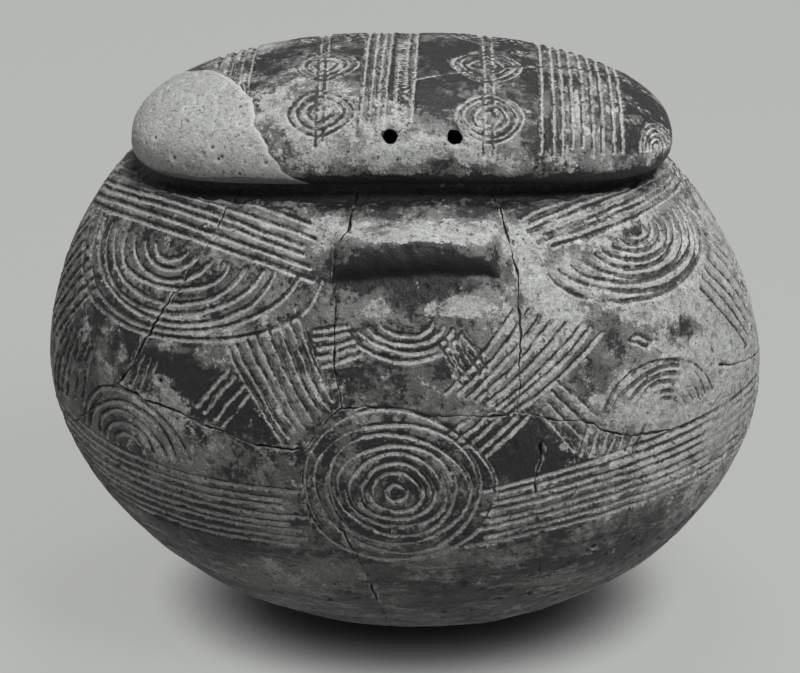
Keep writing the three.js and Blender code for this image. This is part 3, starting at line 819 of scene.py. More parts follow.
# A stretch round a corner: a curve from one row to the next, pulled towards the corner.
def roundRows(start, corner, stop, count):
    share = np.linspace(0, 1, count + 2)[1:-1, None, None]
    return (1 - share) ** 2 * start + 2 * share * (1 - share) * corner + share**2 * stop


# Over the rim: up from the ledge, along the seat and round into the mouth.
def rimRows(turn, lastRow):
    edge = shellPoint(turn, rimHeight(turn))
    mouth = shellPoint(turn, mouthHeight(turn), pot["wall"])
    mouth[..., 2] = rimSurface(mouth[..., 0])
    seatEnd = 1 - pot["rimRound"] / pot["rimWidth"]
    start, stop = (edge + (mouth - edge) * share for share in (pot["ledgeShare"], seatEnd))
    foot = start - [0, 0, pot["ledgeSink"]]
    lower = mouth - [0, 0, pot["rimRound"]]
    flat = np.linspace(0, 1, 7)[:, None, None]
    return [roundRows(lastRow, foot, start, 6), start + (stop - start) * flat,
            roundRows(stop, mouth, lower, 4), lower]


# The gap of a crack: the points near a sherd's edge draw back along the face.
def openGaps(outer, points, sides, filled):
    for side, axis, sign in (("left", 1, 1), ("right", 1, -1), ("bottom", 0, 1), ("top", 0, -1)):
        along = np.gradient(points, axis=axis)
        along = along / np.linalg.norm(along, axis=-1, keepdims=True)
        gap = crackLook["filledGap"] if side in filled else crackLook["gap"] * crackWidth(points)
        pull = gap * power(1 - sides[side] / crackLook["pullFrom"], 1)
        outer = outer + sign * along * pull[..., None]
    return outer


# Where a sherd is dark or pale, and where it is crusted. By its facing, the lug is paler on top, as
# crust and painted light, and darker below as painted shade, as is the ledge under the lid.
def sherdLook(turn, height, points, facing, onLug, paintedShade):
    tone = potSpots(potTones, turn, height) + uneven(points, "tone")
    # Painted shade below the lug and under the lid; the lug's paler top is crust and painted light.
    tone = tone + 1.1 * onLug * np.minimum(facing - 0.35, 0) - 1.4 * paintedShade
    crust = potSpots(potCrusts, turn, height) + uneven(points, "crust")
    return tone, crust + 0.8 * onLug * (facing - 0.55) - paintedShade


def buildSherd(node, sherd, material):
    isUpper = sherd["top"][0][1] == 1
    turn, level, inner = patchPlaces(sherd, surfaceStep.get(node, surfaceStep["others"]))
    turn, level = wander(turn, level)
    if isUpper:
        level = level - pot["rimRound"] / pot["seat"] * smoothStep(level, *fades["rimTurn"])
    height = level * rimHeight(turn)
    points = shellPoint(turn, height)
    normals = gridNormals(points)
    left, right = edgeDistances(points, 1)
    bottom, top = edgeDistances(points, 0)
    if isUpper:
        top = np.full_like(top, crackLook["far"])
    sides = {"left": left, "right": right, "bottom": bottom, "top": top}
    filled = filledSides.get(node, ())
    seen = [filledCrack(sides[side], points) if side in filled else sides[side] for side in sides]
    toCrack = np.minimum(np.minimum.reduce(seen), crackLook["far"])
    toPit, pitRise = pitDistance(points, 0.35, potPits, shellPoint)
    toGroove, toPaintedShadeLine = grooveReads(potMap, turn, height, normals)
    wear = grooveWear(points)
    bolster = sum(lugRise(points, at) for at in lug["turns"])
    onLug = smoothStep(bolster, *fades["onLug"])
    face = clayRise(points) + grooveRise(toGroove, points, wear) * (1 - onLug)
    rise = bolster + crackRise(toCrack, points) + pitRise
    paintedShade = 0 * level
    # Painted shade: the ledge under the lid's edge is darkened in tone and crust, and its grooves
    # fade.
    if isUpper:
        ragged = level + uneven(points, "ledge")
        paintedShade = smoothStep(ragged, *fades["paintedShadeReach"])
        face = face * smoothStep(1 - level, *fades["belowRim"])
        rise = rise - pot["ledgeSink"] * smoothStep(ragged, *fades["ledge"])
    outer = points + normals * (rise + face)[..., None]
    outer = openGaps(outer, points, sides, filled)
    rowsOuter, each = len(outer) - 1, (len(outer) - 1) // inner
    inside = innerPoint(turn[::each], height[::each])
    rim = rimRows(turn[-1:], outer[-1:]) if isUpper else []
    grid = np.concatenate([outer, *rim, inside[::-1]])
    rows, columns = grid.shape[:2]

    # Values for all rows: the rim keeps its last outer one, and the inside has its own
    def spread(value, rest):
        onRim = np.repeat(value[-1:], rows - len(outer) - len(inside), axis=0)
        return np.concatenate([value, onRim, np.full((len(inside), columns), rest)])

    facing = gridNormals(outer)[..., 2]
    tone, crust = sherdLook(turn, height, points, facing, onLug, paintedShade)
    toCrack = np.minimum(toCrack / crackWidth(points), toPit)
    fade = 0.7 * wear + groove["far"] * np.maximum(onLug, paintedShade)
    values = {
        "grooveDistance": spread(toGroove + fade, groove["far"]),
        "paintedShadeLineDistance": spread(toPaintedShadeLine + fade, groove["far"]),
        "crackDistance": spread(toCrack, crackLook["far"]),
        "tone": spread(tone, -0.1),
        "crust": spread(crust, 0.1),
    }
    faces = skinOf(rows, columns, rowsOuter, inner, (True, False))
    piece = makePiece(node + "_fired", grid.reshape(-1, 3), faces, values, material)
    finishPiece(piece, node, "pot")


baseSteps = {"round": 420, "flat": 30, "curve": 36, "insideEvery": 5}


# The base: rings from the middle of the flat foot out to its edge, then up the curve to the
# crack in equal steps of the curve's own angle. The inside comes back the same way.
def buildBase(material):
    columns, every = baseSteps["round"], baseSteps["insideEvery"]
    turn = np.linspace(-180, 180, columns, endpoint=False)[None]
    route = np.array(cracks["foot"][:-2])
    order = np.argsort(wrapTurn(route[:, 0]))
    level = np.interp(turn, wrapTurn(route[:, 0])[order], route[:, 1][order], period=360)
    crackTurn, crackLevel = wander(turn, level)
    share = np.linspace(0, 1, baseSteps["curve"])[:, None]
    crackHeight = crackLevel * rimHeight(crackTurn) - crackLook["gap"]
    start = np.arcsin((pot["widest"] / lowerRise) ** (pot["lowerBend"] / 2))
    stop = np.arcsin(((pot["widest"] - crackHeight) / lowerRise) ** (pot["lowerBend"] / 2))
    height = pot["widest"] - lowerRise * np.sin(start + (stop - start) * share) ** (
        2 / pot["lowerBend"])
    turns = turn + (crackTurn - turn) * share
    curve = shellPoint(turns, np.maximum(height, 0))
    middle = np.array([-pot["lean"] * pot["widest"], 0, 0])
    flat = np.linspace(0, 1, baseSteps["flat"])[:-1, None, None]
    outer = np.concatenate([middle + (curve[:1] - middle) * flat, curve])
    inside = innerPoint(turns[::every], np.maximum(height[::every], 0))
    top = inside[0].mean(0)
    inside = np.concatenate([top + (inside[:1] - top) * flat[::4], inside])
    toCrack = np.full(outer.shape[:2], crackLook["far"])
    toCrack[-len(curve):] = np.minimum(edgeDistances(curve, 0)[1], crackLook["far"])
    normals = gridNormals(outer[1:])
    rise = crackRise(toCrack, outer) + clayRise(outer) * smoothStep(outer[..., 2], 0.2, 3.0)
    outer[1:] += normals * rise[1:, :, None]
    outer[..., 2] = np.maximum(outer[..., 2], 0.0)
    grid = np.concatenate([outer, inside[::-1]])
    rows = len(grid)
    height = outer[..., 2]
    turns = turn + 0 * height
    blank = np.ones((len(inside), columns))
    noGroove = np.full((rows, columns), groove["far"])
    values = {
        "grooveDistance": noGroove,
        "paintedShadeLineDistance": noGroove,
        "crackDistance": np.concatenate([toCrack, blank * crackLook["far"]]),
        "tone": np.concatenate([potSpots(potTones, turns, height), -0.1 * blank]),
        "crust": np.concatenate([potSpots(potCrusts, turns, height), 0.1 * blank]),
    }
    faces = [quadsOf(rows, columns, False, True)]
    piece = makePiece("base_sherd_fired", grid.reshape(-1, 3), faces, values, material)
    finishPiece(piece, "base_sherd", "pot")


# The break between clay and plaster over the dome, as [degrees over, share of the half length].
infillTongue = 0.1
infillBreak = [(0, -0.43), (15, -0.48), (36, -0.526), (49, -0.528), (60, -0.553), (75, -0.6),
               (93, -0.67), (108, -0.756), (126, -0.81), (153, -0.84), (180, -0.862)]
plasterPits = [(-58.1, 8, 0.9, 0.9), (-72.5, 7, 0.8, 0.8), (-45.4, 36, 0.8, 0.9),
               (-43, 5, 0.7, 0.7), (-69.4, 58, 0.6, 0.6), (-57, 10, 0.7, 0.8), (-60, 18, 0.8, 0.6),
               (-51.4, 36, 0.5, 0.6), (-76, 100, 0.7, 0.7), (-79, 30, 0.6, 0.6)]
stringHole = {"radius": 2.45, "spacing": 20.2, "middle": 6.2, "inset": 3.8, "sides": 48,
              "ragged": 0.5}


lidSteps = {"inner": 24, "each": 10, "edge": 12, "seat": 3, "clay": 290, "plaster": 130}


# One loop of the lid's section: the seat and rounded edge in front, over the dome, the edge and
# seat behind, then back under the dome.
def lidLoop(inner, each):
    edgeRows, seatRows = lidSteps["edge"], lidSteps["seat"]
    domeRows = inner * each + 1 - 2 * (edgeRows + seatRows)
    arc = np.linspace(0, np.pi / 2, edgeRows + 1)[:-1]
    seat = np.linspace(lid["rimWidth"], lid["edgeIn"], seatRows + 1)[:-1]
    inset = np.concatenate([seat, lid["edgeIn"] * (1 - np.sin(arc))])
    lift = np.concatenate([np.zeros(seatRows), lid["edge"] * (1 - np.cos(arc))])
    over = np.concatenate([np.zeros(len(inset)), np.linspace(0, np.pi, domeRows),
                           np.full(len(inset), np.pi), np.linspace(np.pi, 0, inner + 1)])
    blank = np.zeros(domeRows)
    inset = np.concatenate([inset, blank, inset[::-1], np.full(inner + 1, lid["rimWidth"])])
    lift = np.concatenate([lift, blank + lid["edge"], lift[::-1], np.full(inner + 1, lid["edge"])])
    drop = np.concatenate([np.zeros(inner * each + 1), np.ones(inner + 1)])
    dome = (over > 0) & (over < np.pi)
    return [value[:, None] for value in (over, inset, lift, dome.astype(float), drop)]


# Plaster stands a little proud of the clay and has pits from its own air bubbles.
def plasterRise(points, toEdge):
    pits = smoothStep(uneven(points, "plasterPits"), 0.45, 0.8)
    pits = pits + 0.6 * smoothStep(uneven(points, "plasterPinholes"), 0.5, 0.8)
    rise = uneven(points, "plasterFace") - 0.5 * pits + 0.5
    return rise * smoothStep(toEdge, -0.4, 2.5)


def lidClayRise(points, toGroove, wear):
    worn = np.exp(-np.maximum(holeDistance(points) - stringHole["radius"], 0) / 0.9)
    return 0.8 * clayRise(points) + grooveRise(toGroove, points, wear) - 0.7 * worn


# Both lid pieces share one grid that starts at the break and runs to its own end of the lid.
def lidGrid(isPlaster, columns, inner, each):
    over, inset, lift, dome, drop = lidLoop(inner, each)
    share = np.interp(np.degrees(over), *np.array(infillBreak).T)
    share = share + infillTongue * (1 - lift / lid["edge"]) * (over == 0)
    spot = lidSurface(alongToU(share * lid["halfLength"]), over, inset, lift, dome, drop)
    crackU = alongToU(share * lid["halfLength"] + 0.9 * uneven(spot, "lidBreak"))
    run = np.linspace(0, 1, columns + 1)[None]
    u = crackU * run if isPlaster else crackU + (np.pi - crackU) * run
    return u, over, lift, lidSurface(u, over, inset, lift, dome, drop)


def buildLidPiece(node, isPlaster, material):
    inner, each = lidSteps["inner"], lidSteps["each"]
    columns = lidSteps["plaster" if isPlaster else "clay"]
    rowsOuter = inner * each
    u, over, lift, points = lidGrid(isPlaster, columns, inner, each)
    rows, far = len(points), np.full(u.shape, groove["far"])
    toEdge = edgeDistances(points, 1)[1 if isPlaster else 0]
    toCrack = np.minimum(filledCrack(toEdge, points, -0.2), crackLook["far"])
    isOuter = (np.arange(rows) <= rowsOuter)[:, None] * np.ones_like(u)
    ends = smoothStep(np.minimum(u, np.pi - u), 0.0, 0.12)
    face = isOuter * smoothStep(lift + 0 * u, 1.0, lid["edge"]) * ends
    along, place = points[..., 0] - lid["middle"], np.degrees(over) + 0 * u
    wear = 0.4 * grooveWear(points)
    # Painted shade under the lid's rounded edge: tone and crust drop where the edge turns under.
    shade = uneven(points, "lidShade")
    paintedShade = 1 - smoothStep(lift + shade, 0.25 * lid["edge"], 0.9 * lid["edge"])
    if isPlaster:
        toGroove, toPaintedShadeLine, tone = far, far, 0
        toPit, pitRise = pitDistance(points, 0.3, plasterPits, lidPlacePoint)
        rise = plasterRise(points, toEdge) + pitRise
        toCrack = np.minimum(toCrack, toPit)
    else:
        aside = along + groove["shadeAside"]
        toGroove = np.where(isOuter > 0, readMap(lidMap, along, place), far)
        # The painted shade line is read just above and beside each stroke.
        toPaintedShadeLine = np.where(isOuter > 0, readMap(lidMap, aside, place - 0.8), far)
        tone = spotSum(lidTones, along, place, False)
        rise = lidClayRise(points, toGroove, wear)
    rise = (rise + crackRise(toEdge + 0.25, points)) * face
    grid = points + gridNormals(points) * rise[..., None]
    pull = crackLook["lidGap"] * power(1 - toEdge / crackLook["pullFrom"], 1)
    grid[..., 0] += -pull if isPlaster else pull
    values = {
        "grooveDistance": toGroove + 0.7 * wear,
        "paintedShadeLineDistance": toPaintedShadeLine + 0.7 * wear,
        "crackDistance": np.where(isOuter > 0, toCrack, crackLook["far"]),
        "tone": (tone - 1.2 * paintedShade) * isOuter,
        "crust": (spotSum(lidCrusts, along, place, False) - paintedShade) * isOuter,
    }
    faces = skinOf(rows, columns + 1, rowsOuter, inner, (not isPlaster,))
    piece = makePiece(node + "_finished", grid.reshape(-1, 3), faces, values, material)
    if not isPlaster:
        weld(piece.data, False)
        drillHoles(piece)
    finishPiece(piece, node, "lid")


# Middle and outward direction of each string hole, two in front and two behind.
def stringHoles():
    holes = []
    for side in (-1, 1):
        for step in (-0.5, 0.5):
            along = -side * stringHole["middle"] + step * stringHole["spacing"]
            reach = (1 - abs(along / lid["halfLength"]) ** lid["outline"]) ** (1 / lid["outline"])
            edge = lid["halfDepth"] * reach
            y = side * (edge - stringHole["inset"])
            over = np.degrees(np.arccos(-y / edge))
            point = lidPlacePoint(along, over)
            acrossStep = lidPlacePoint(along, over + 0.3) - lidPlacePoint(along, over - 0.3)
            alongStep = lidPlacePoint(along + 0.3, over) - lidPlacePoint(along - 0.3, over)
            outward = np.cross(alongStep, acrossStep)
            holes.append((point, outward / np.linalg.norm(outward)))
    return holes


def holeDistance(points):
    nearest = np.full(points.shape[:-1], 99.0)
    for middle, outward in stringHoles():
        offset = points - middle
        aside = offset - (offset @ outward)[..., None] * outward
        gap = np.linalg.norm(aside, axis=-1) + 99.0 * (np.abs(offset @ outward) > 12)
        nearest = np.minimum(nearest, gap)
    return nearest


def drillHoles(piece):
    drills = bmesh.new()
    for middle, outward in stringHoles():
        turn = Vector(outward).to_track_quat("Z", "Y").to_matrix().to_4x4()
        turn.translation = Vector(middle / perMetre)
        bmesh.ops.create_cone(
            drills, cap_ends=True, segments=stringHole["sides"], matrix=turn,
            radius1=stringHole["radius"] / perMetre, radius2=stringHole["radius"] / perMetre,
            depth=4 * lid["wall"] / perMetre)
    mesh = bpy.data.meshes.new("drills")
    drills.to_mesh(mesh)
    drills.free()
    places = np.empty(3 * len(mesh.vertices))
    mesh.vertices.foreach_get("co", places)
    places = places.reshape(-1, 3) * perMetre
    shift = np.stack([smoothNoise(places, 1.5, seed) for seed in (121, 122, 123)], axis=-1)
    places = (places + stringHole["ragged"] * shift) / perMetre
    mesh.vertices.foreach_set("co", places.ravel())
    tool = bpy.data.objects.new("drills", mesh)
    bpy.context.scene.collection.objects.link(tool)
    cut = piece.modifiers.new("holes", "BOOLEAN")
    cut.operation, cut.object, cut.solver = "DIFFERENCE", tool, "EXACT"
    graph = bpy.context.evaluated_depsgraph_get()
    drilled = bpy.data.meshes.new_from_object(piece.evaluated_get(graph))
    piece.modifiers.clear()
    piece.data = drilled
    bpy.data.objects.remove(tool)


def addNode(tree, kind, inputs=None, **settings):
    node = tree.nodes.new(kind)
    for name, value in settings.items():
        setattr(node, name, value)
    for name, value in (inputs or {}).items():
        if hasattr(value, "links"):
            tree.links.new(value, node.inputs[name])
        else:
            node.inputs[name].default_value = value
    return node


def maths(tree, operation, first, second):
    return addNode(tree, "ShaderNodeMath", {0: first, 1: second}, operation=operation).outputs[0]


def times(tree, first, second):
    return maths(tree, "MULTIPLY", first, second)


def plus(tree, first, second):
    return maths(tree, "ADD", first, second)


# A value times one number plus another.
def scaled(tree, value, share, more):
    return plus(tree, times(tree, value, share), more)


# A smooth step from start to stop, while the value goes from low to high.
def between(tree, value, low, high, start=0.0, stop=1.0):
    node = addNode(tree, "ShaderNodeMapRange", {
        "Value": value, "From Min": low, "From Max": high, "To Min": start, "To Max": stop},
        interpolation_type="SMOOTHSTEP")
    return node.outputs["Result"]


def noiseOf(tree, vector, scale, detail=3.0, roughness=0.6):
    node = addNode(tree, "ShaderNodeTexNoise", {
        "Vector": vector, "Scale": scale, "Detail": detail, "Roughness": roughness})
    return node.outputs["Fac"]


def mixColours(tree, share, first, second, blend="MIX"):
    node = addNode(tree, "ShaderNodeMix", {0: share, 6: first, 7: second}, data_type="RGBA",
                   blend_type=blend)
    return node.outputs[2]


def blendValues(tree, share, first, second):
    return addNode(tree, "ShaderNodeMix", {0: share, 2: first, 3: second}).outputs[0]


def grey(value):
    return (value * 0.985, value, value * 0.955, 1.0)


def makeGroup(name, inputs, outputs):
    group = bpy.data.node_groups.new(name, "ShaderNodeTree")
    for label, kind in inputs.items():
        group.interface.new_socket(name=label, in_out="INPUT", socket_type=kind)
    for label, kind in outputs.items():
        group.interface.new_socket(name=label, in_out="OUTPUT", socket_type=kind)
    return group, group.nodes.new("NodeGroupInput"), group.nodes.new("NodeGroupOutput")


# Patches with ragged edges: coarse and fine noise added to an amount, then cut where the sum
# passes zero. An amount of 0 covers half, and 0.3 covers nearly all.
def patchGroup():
    group, given, result = makeGroup("raggedPatch", {
        "Vector": "NodeSocketVector", "Amount": "NodeSocketFloat", "Scale": "NodeSocketFloat",
        "Softness": "NodeSocketFloat"}, {"Mask": "NodeSocketFloat"})
    vector, amount, scale, softness = list(given.outputs)[:4]
    coarse = noiseOf(group, vector, scale, 6.0, 0.68)
    grain = noiseOf(group, vector, times(group, scale, 6.0), 3.0, 0.6)
    total = plus(group, times(group, coarse, 1.5), scaled(group, grain, 0.6, -1.05))
    total = plus(group, total, amount)
    mask = between(group, total, times(group, softness, -1.0), softness)
    group.links.new(mask, result.inputs["Mask"])
    return group


def patchMask(tree, group, vector, scale, softness, amount):
    return addNode(tree, "ShaderNodeGroup", {
        "Vector": vector, "Scale": scale, "Softness": softness, "Amount": amount},
        node_tree=group).outputs["Mask"]


# Lime in the grooves: pale across the groove where it is kept, and a thin dark line along its
# middle where it is lost, bare clay darkened as painted shade, with a broken painted shade line
# along the side just above and beside the groove.
def limeGroup():
    group, given, result = makeGroup("limeInGrooves", {
        "Vector": "NodeSocketVector", "Distance": "NodeSocketFloat",
        "PaintedShadeLine": "NodeSocketFloat", "Kept": "NodeSocketFloat"},
        {"Fill": "NodeSocketFloat", "GroovePaintedShade": "NodeSocketFloat"})
    vector, distance, paintedShadeLine, keptAmount = list(given.outputs)[:4]
    jitter = scaled(group, noiseOf(group, vector, 800.0, 3.0), 1.1, -0.55)
    sway = scaled(group, noiseOf(group, vector, 240.0, 2.0), 0.6, -0.3)
    jitter = plus(group, jitter, sway)
    distance, paintedShadeLine = plus(group, distance, jitter), plus(group, paintedShadeLine, jitter)
    inside = between(group, distance, 0.6, 1.0, 1.0, 0.0)
    lost = noiseOf(group, vector, 150.0, 5.0, 0.7)
    kept = between(group, plus(group, lost, keptAmount), 0.46, 0.58)
    group.links.new(times(group, inside, kept), result.inputs["Fill"])
    broken = between(group, noiseOf(group, vector, 260.0, 4.0, 0.65), 0.38, 0.52, 0.45, 1.0)
    shaded = times(group, between(group, paintedShadeLine, 0.35, 0.7, 1.0, 0.0), broken)
    core = between(group, distance, 0.3, 0.75, 0.85, 0.0)
    emptied = times(group, core, maths(group, "SUBTRACT", 1.0, kept))
    group.links.new(maths(group, "MAXIMUM", shaded, emptied), result.inputs["GroovePaintedShade"])
    return group


# The darkest grey here is the painted shade in the grooves.
clayLook = {
    "slip": 0.017, "body": 0.125, "worn": 0.22, "film": 0.25, "crust": 0.37, "crustLow": 0.25,
    "lime": 0.45, "limeLow": 0.27, "paintedShadeLine": 0.01, "crack": 0.006, "pit": 0.02,
    "slipRoughness": 0.45, "crustRoughness": 0.9, "specular": 0.28, "bump": 0.6,
}
# Patches as (scale, softness), and noises as (scale, detail, roughness).
clayPatches = {"worn": (95.0, 0.05), "wornLow": (90.0, 0.05), "scuffs": (240.0, 0.05),
               "scuffsLow": (210.0, 0.07), "film": (60.0, 0.12), "crust": (120.0, 0.04),
               "dust": (170.0, 0.12)}
clayNoises = {"clouds": (60.0, 5.0, 0.65), "fineMottle": (380.0, 4.0, 0.65),
              "coarseMottle": (120.0, 5.0, 0.65), "broken": (300.0, 5.0, 0.7),
              "specks": (520.0, 3.0, 0.6), "grain": (1300.0, 3.0)}
clayShares = {"film": 0.45, "scuffs": 0.75, "lime": 0.85, "paintedShadeLine": 0.9, "dust": 0.7,
              "specks": 0.75}
# Under is the colour of the painted shade where the lid's edge turns under.
plasterLook = {
    "base": 0.37, "stain": 0.28, "under": 0.15, "lip": 0.44, "pit": 0.03, "roughness": 0.92,
    "bump": 0.55,
}


def startMaterial(name):
    material = bpy.data.materials.new(name)
    material.use_nodes = True
    tree = material.node_tree
    tree.nodes.clear()
    shader = addNode(tree, "ShaderNodeBsdfPrincipled")
    output = addNode(tree, "ShaderNodeOutputMaterial")
    tree.links.new(shader.outputs[0], output.inputs[0])
    vector = addNode(tree, "ShaderNodeTexCoord").outputs["Object"]
    return material, tree, shader, vector


def attributeOf(tree, name):
    return addNode(tree, "ShaderNodeAttribute", attribute_name=name).outputs["Fac"]


def finishShader(tree, shader, colour, roughness, height, bump):
    tree.links.new(colour, shader.inputs["Base Color"])
    tree.links.new(roughness, shader.inputs["Roughness"])
    node = addNode(tree, "ShaderNodeBump", {"Height": height, "Strength": bump,
                                            "Distance": 0.0006})
    tree.links.new(node.outputs[0], shader.inputs["Normal"])


def firedClay(patch, lime):
    material, tree, shader, vector = startMaterial("firedClay")
    tone, crust = attributeOf(tree, "tone"), attributeOf(tree, "crust")
    toCrack = attributeOf(tree, "crackDistance")
    height = addNode(tree, "ShaderNodeSeparateXYZ", {0: vector}).outputs["Z"]
    belly = between(tree, height, 0.05, 0.075, 1.0, 0.0)
    level = addNode(tree, "ShaderNodeMapping", {
        "Vector": vector, "Scale": (0.28, 0.28, 1.3)}).outputs[0]

    def patchy(name, amount):
        return patchMask(tree, patch, vector, *clayPatches[name], amount)

    # Patches that turn into level streaks low on the belly
    def streaked(name, amount):
        low = patchMask(tree, patch, level, *clayPatches[name + "Low"], amount)
        return blendValues(tree, belly, patchy(name, amount), low)

    def noisy(name):
        return noiseOf(tree, vector, *clayNoises[name])

    def covered(under, mask, name, over):
        return mixColours(tree, times(tree, mask, clayShares[name]), under, over)

    # Dark slip, worn through to the body, with a film and scuffs on both
    worn = streaked("worn", scaled(tree, tone, 0.5, 0.06))
    clouds = between(tree, noisy("clouds"), 0.32, 0.68, 0.6, 1.35)
    body = mixColours(tree, 1.0, grey(clayLook["body"]), clouds, "MULTIPLY")
    colour = mixColours(tree, worn, grey(clayLook["slip"]), body)
    film = patchy("film", scaled(tree, crust, 0.6, -0.14))
    colour = covered(colour, film, "film", grey(clayLook["film"]))
    scuffAmount = plus(tree, scaled(tree, tone, 0.2, -0.17), times(tree, belly, 0.09))
    scuffs = streaked("scuffs", scuffAmount)
    colour = covered(colour, scuffs, "scuffs", grey(clayLook["worn"]))
    # Lime crust, mottled, broken and pitted
    mottle = blendValues(tree, 0.5, between(tree, noisy("fineMottle"), 0.34, 0.62),
                         between(tree, noisy("coarseMottle"), 0.36, 0.62))
    pale = patchy("crust", scaled(tree, crust, 0.6, -0.25))
    paleColour = mixColours(tree, mottle, grey(clayLook["crustLow"]), grey(clayLook["crust"]))
    broken = between(tree, noisy("broken"), 0.38, 0.5, 0.3, 0.95)
    colour = mixColours(tree, times(tree, pale, broken), colour, paleColour)
    # Grooves: pale lime where the ground is dark, and dark painted groove shade where the ground is
    # pale
    kept = plus(tree, scaled(tree, crust, -0.4, 0.26), times(tree, tone, -0.12))
    grooves = addNode(tree, "ShaderNodeGroup", {
        "Vector": vector, "Distance": attributeOf(tree, "grooveDistance"),
        "PaintedShadeLine": attributeOf(tree, "paintedShadeLineDistance"), "Kept": kept}, node_tree=lime).outputs
    limeColour = mixColours(tree, mottle, grey(clayLook["limeLow"]), grey(clayLook["lime"]))
    colour = covered(colour, grooves["Fill"], "lime", limeColour)
    colour = covered(colour, grooves["GroovePaintedShade"], "paintedShadeLine", grey(clayLook["paintedShadeLine"]))
    # Dust beside the cracks, pits and fine grain
    # Dust stays off where the crust is below zero, which holds the painted shade under the lid and
    # lug.
    paintedShade = times(tree, maths(tree, "MINIMUM", crust, 0.0), 0.6)
    dustAmount = plus(tree, paintedShade, between(tree, toCrack, 0.5, 2.4, 0.02, -0.6))
    colour = covered(colour, patchy("dust", dustAmount), "dust", paleColour)
    specks = between(tree, noisy("specks"), 0.63, 0.68)
    colour = covered(colour, specks, "specks", grey(clayLook["pit"]))
    grain = noisy("grain")
    colour = mixColours(tree, 1.0, colour, between(tree, grain, 0.3, 0.7, 0.76, 1.28), "MULTIPLY")
    insideCrack = between(tree, toCrack, 0.08, 0.32, 1.0, 0.0)
    colour = mixColours(tree, insideCrack, colour, grey(clayLook["crack"]))
    # Crust and lime are rougher than slip, and stand a little higher
    rough = maths(tree, "MAXIMUM", pale, grooves["Fill"])
    rough = maths(tree, "MAXIMUM", rough, times(tree, worn, 0.7))
    roughness = between(tree, rough, 0.0, 1.0, clayLook["slipRoughness"],
                        clayLook["crustRoughness"])
    relief = plus(tree, plus(tree, times(tree, grain, 0.8), mottle), times(tree, pale, 0.8))
    relief = maths(tree, "SUBTRACT", relief, specks)
    shader.inputs["Specular IOR Level"].default_value = clayLook["specular"]
    finishShader(tree, shader, colour, roughness, relief, clayLook["bump"])
    return material


def repairPlaster(patch):
    material, tree, shader, vector = startMaterial("repairPlaster")
    stains = patchMask(tree, patch, vector, 130.0, 0.4, -0.02)
    colour = mixColours(tree, stains, grey(plasterLook["base"]), grey(plasterLook["stain"]))
    # Painted shade: the plaster darkens where the lid's edge turns under, read from the tone
    # attribute.
    paintedShadeAmount = between(tree, attributeOf(tree, "tone"), -1.0, -0.2, 0.25, -0.8)
    under = patchMask(tree, patch, vector, 200.0, 0.2, paintedShadeAmount)
    colour = mixColours(tree, under, colour, grey(plasterLook["under"]))
    specks = between(tree, noiseOf(tree, vector, 700.0, 3.0, 0.6), 0.6, 0.63)
    holes = between(tree, noiseOf(tree, vector, 260.0, 3.0, 0.7), 0.68, 0.71)
    dark = maths(tree, "MAXIMUM", times(tree, specks, 0.5), holes)
    colour = mixColours(tree, dark, colour, grey(plasterLook["pit"]))
    grain = noiseOf(tree, vector, 1200.0, 3.0)
    colour = mixColours(tree, 1.0, colour, between(tree, grain, 0.25, 0.75, 0.75, 1.25), "MULTIPLY")
    toCrack = attributeOf(tree, "crackDistance")
    colour = mixColours(tree, between(tree, toCrack, 0.8, 2.6, 0.6, 0.0), colour,
                        grey(plasterLook["lip"]))
    insideCrack = between(tree, toCrack, 0.1, 0.4, 1.0, 0.0)
    colour = mixColours(tree, insideCrack, colour, grey(plasterLook["pit"]))
    roughness = between(tree, dark, 0.0, 1.0, plasterLook["roughness"], 1.0)
    relief = maths(tree, "SUBTRACT", grain, dark)
    finishShader(tree, shader, colour, roughness, relief, plasterLook["bump"])
    return material


patch, lime = patchGroup(), limeGroup()
clayMaterial, plasterMaterial = firedClay(patch, lime), repairPlaster(patch)
print("materials made")

for node, sherd in sherds.items():
    buildSherd(node, sherd, clayMaterial)
buildBase(clayMaterial)
buildLidPiece("lid_clay", False, clayMaterial)
buildLidPiece("lid_end_infill", True, plasterMaterial)

floorLook = {"colour": (0.2, 0.205, 0.2, 1.0), "seenColour": (0.06, 0.062, 0.06, 1.0),
             "glow": (0.398, 0.406, 0.395, 1.0), "roughness": 0.95,
             "specular": 0.1, "size": 8.0, "paintedShadeReach": 0.03, "darkBelow": 0.16, "clearAbove": 0.84}
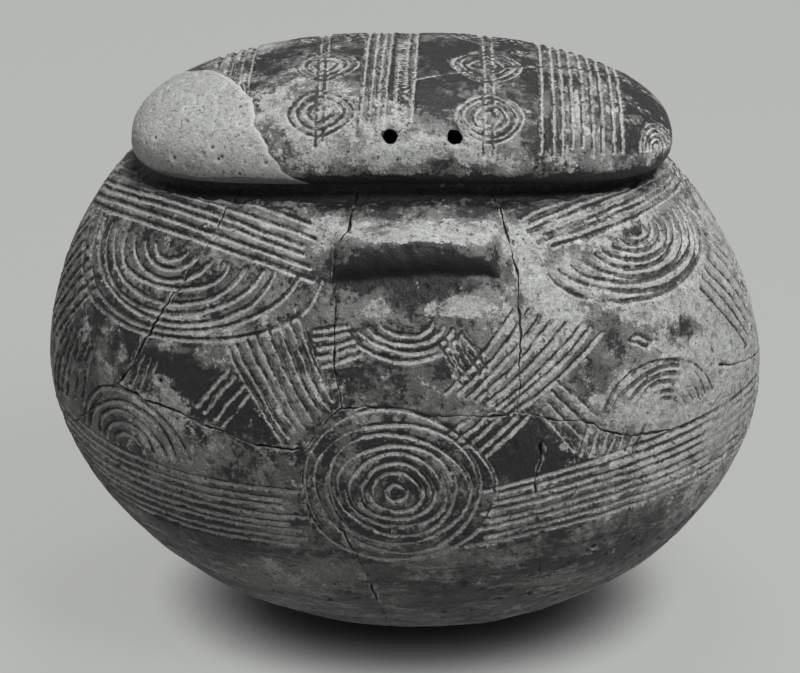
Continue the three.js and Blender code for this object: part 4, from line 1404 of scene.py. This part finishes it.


# For the camera the floor glows a little, so that the shadows on it stay soft, but less and less
# towards the pot's foot, where ambient occlusion cuts the glow into a painted contact shadow.
def makeFloor():
    bpy.ops.mesh.primitive_plane_add(size=floorLook["size"])
    floor = bpy.context.object
    floor.name = "floor"
    material, tree, shader, _ = startMaterial("paleFloor")
    shader.inputs["Roughness"].default_value = floorLook["roughness"]
    shader.inputs["Specular IOR Level"].default_value = floorLook["specular"]
    shader.inputs["Emission Color"].default_value = floorLook["glow"]
    path = addNode(tree, "ShaderNodeLightPath").outputs
    clear = addNode(tree, "ShaderNodeAmbientOcclusion", {"Distance": floorLook["paintedShadeReach"]},
                    samples=16).outputs["AO"]
    clear = between(tree, clear, floorLook["darkBelow"], floorLook["clearAbove"])
    glow = plus(tree, times(tree, path["Is Camera Ray"], clear), path["Is Glossy Ray"])
    tree.links.new(glow, shader.inputs["Emission Strength"])
    seen = plus(tree, path["Is Camera Ray"], path["Is Glossy Ray"])
    colour = mixColours(tree, seen, floorLook["colour"], floorLook["seenColour"])
    tree.links.new(colour, shader.inputs["Base Color"])
    floor.data.materials.append(material)


lights = {
    "above": {"at": (0.1, 0.3, 1.35), "size": 0.4, "power": 8.5},
    "front": {"at": (0.5, -0.6, 1.25), "size": 0.4, "power": 15.0},
    "right": {"at": (1.3, -0.6, 0.45), "size": 0.9, "power": 4.4},
    "left": {"at": (-1.2, -0.6, 0.6), "size": 0.9, "power": 2.0},
}


def makeLights(target):
    for name, light in lights.items():
        data = bpy.data.lights.new(name, "AREA")
        data.size, data.energy = light["size"], light["power"]
        lamp = bpy.data.objects.new(name, data)
        lamp.location = light["at"]
        lamp.rotation_euler = (target - lamp.location).to_track_quat("-Z", "Y").to_euler()
        bpy.context.scene.collection.objects.link(lamp)
    world = bpy.data.worlds.new("room")
    bpy.context.scene.world = world
    world.use_nodes = True
    sky = world.node_tree.nodes["Background"]
    sky.inputs["Color"].default_value = (0.97, 1.0, 0.97, 1.0)
    sky.inputs["Strength"].default_value = 0.28


cameraLook = {"elevation": 26.0, "distance": 1.1, "lens": 146.8, "sensor": 36.0,
              "target": (-0.0019, 0.0, 0.09814)}


def makeCamera():
    data = bpy.data.cameras.new("camera")
    data.lens, data.sensor_width = cameraLook["lens"], cameraLook["sensor"]
    camera = bpy.data.objects.new("camera", data)
    tilt = math.radians(cameraLook["elevation"])
    back = Vector((0.0, -math.cos(tilt), math.sin(tilt)))
    camera.location = Vector(cameraLook["target"]) + back * cameraLook["distance"]
    camera.rotation_euler = (-back).to_track_quat("-Z", "Y").to_euler()
    bpy.context.scene.collection.objects.link(camera)
    bpy.context.scene.camera = camera


makeFloor()
makeLights(Vector(cameraLook["target"]))
makeCamera()
bpy.context.scene.view_settings.view_transform = "Standard"
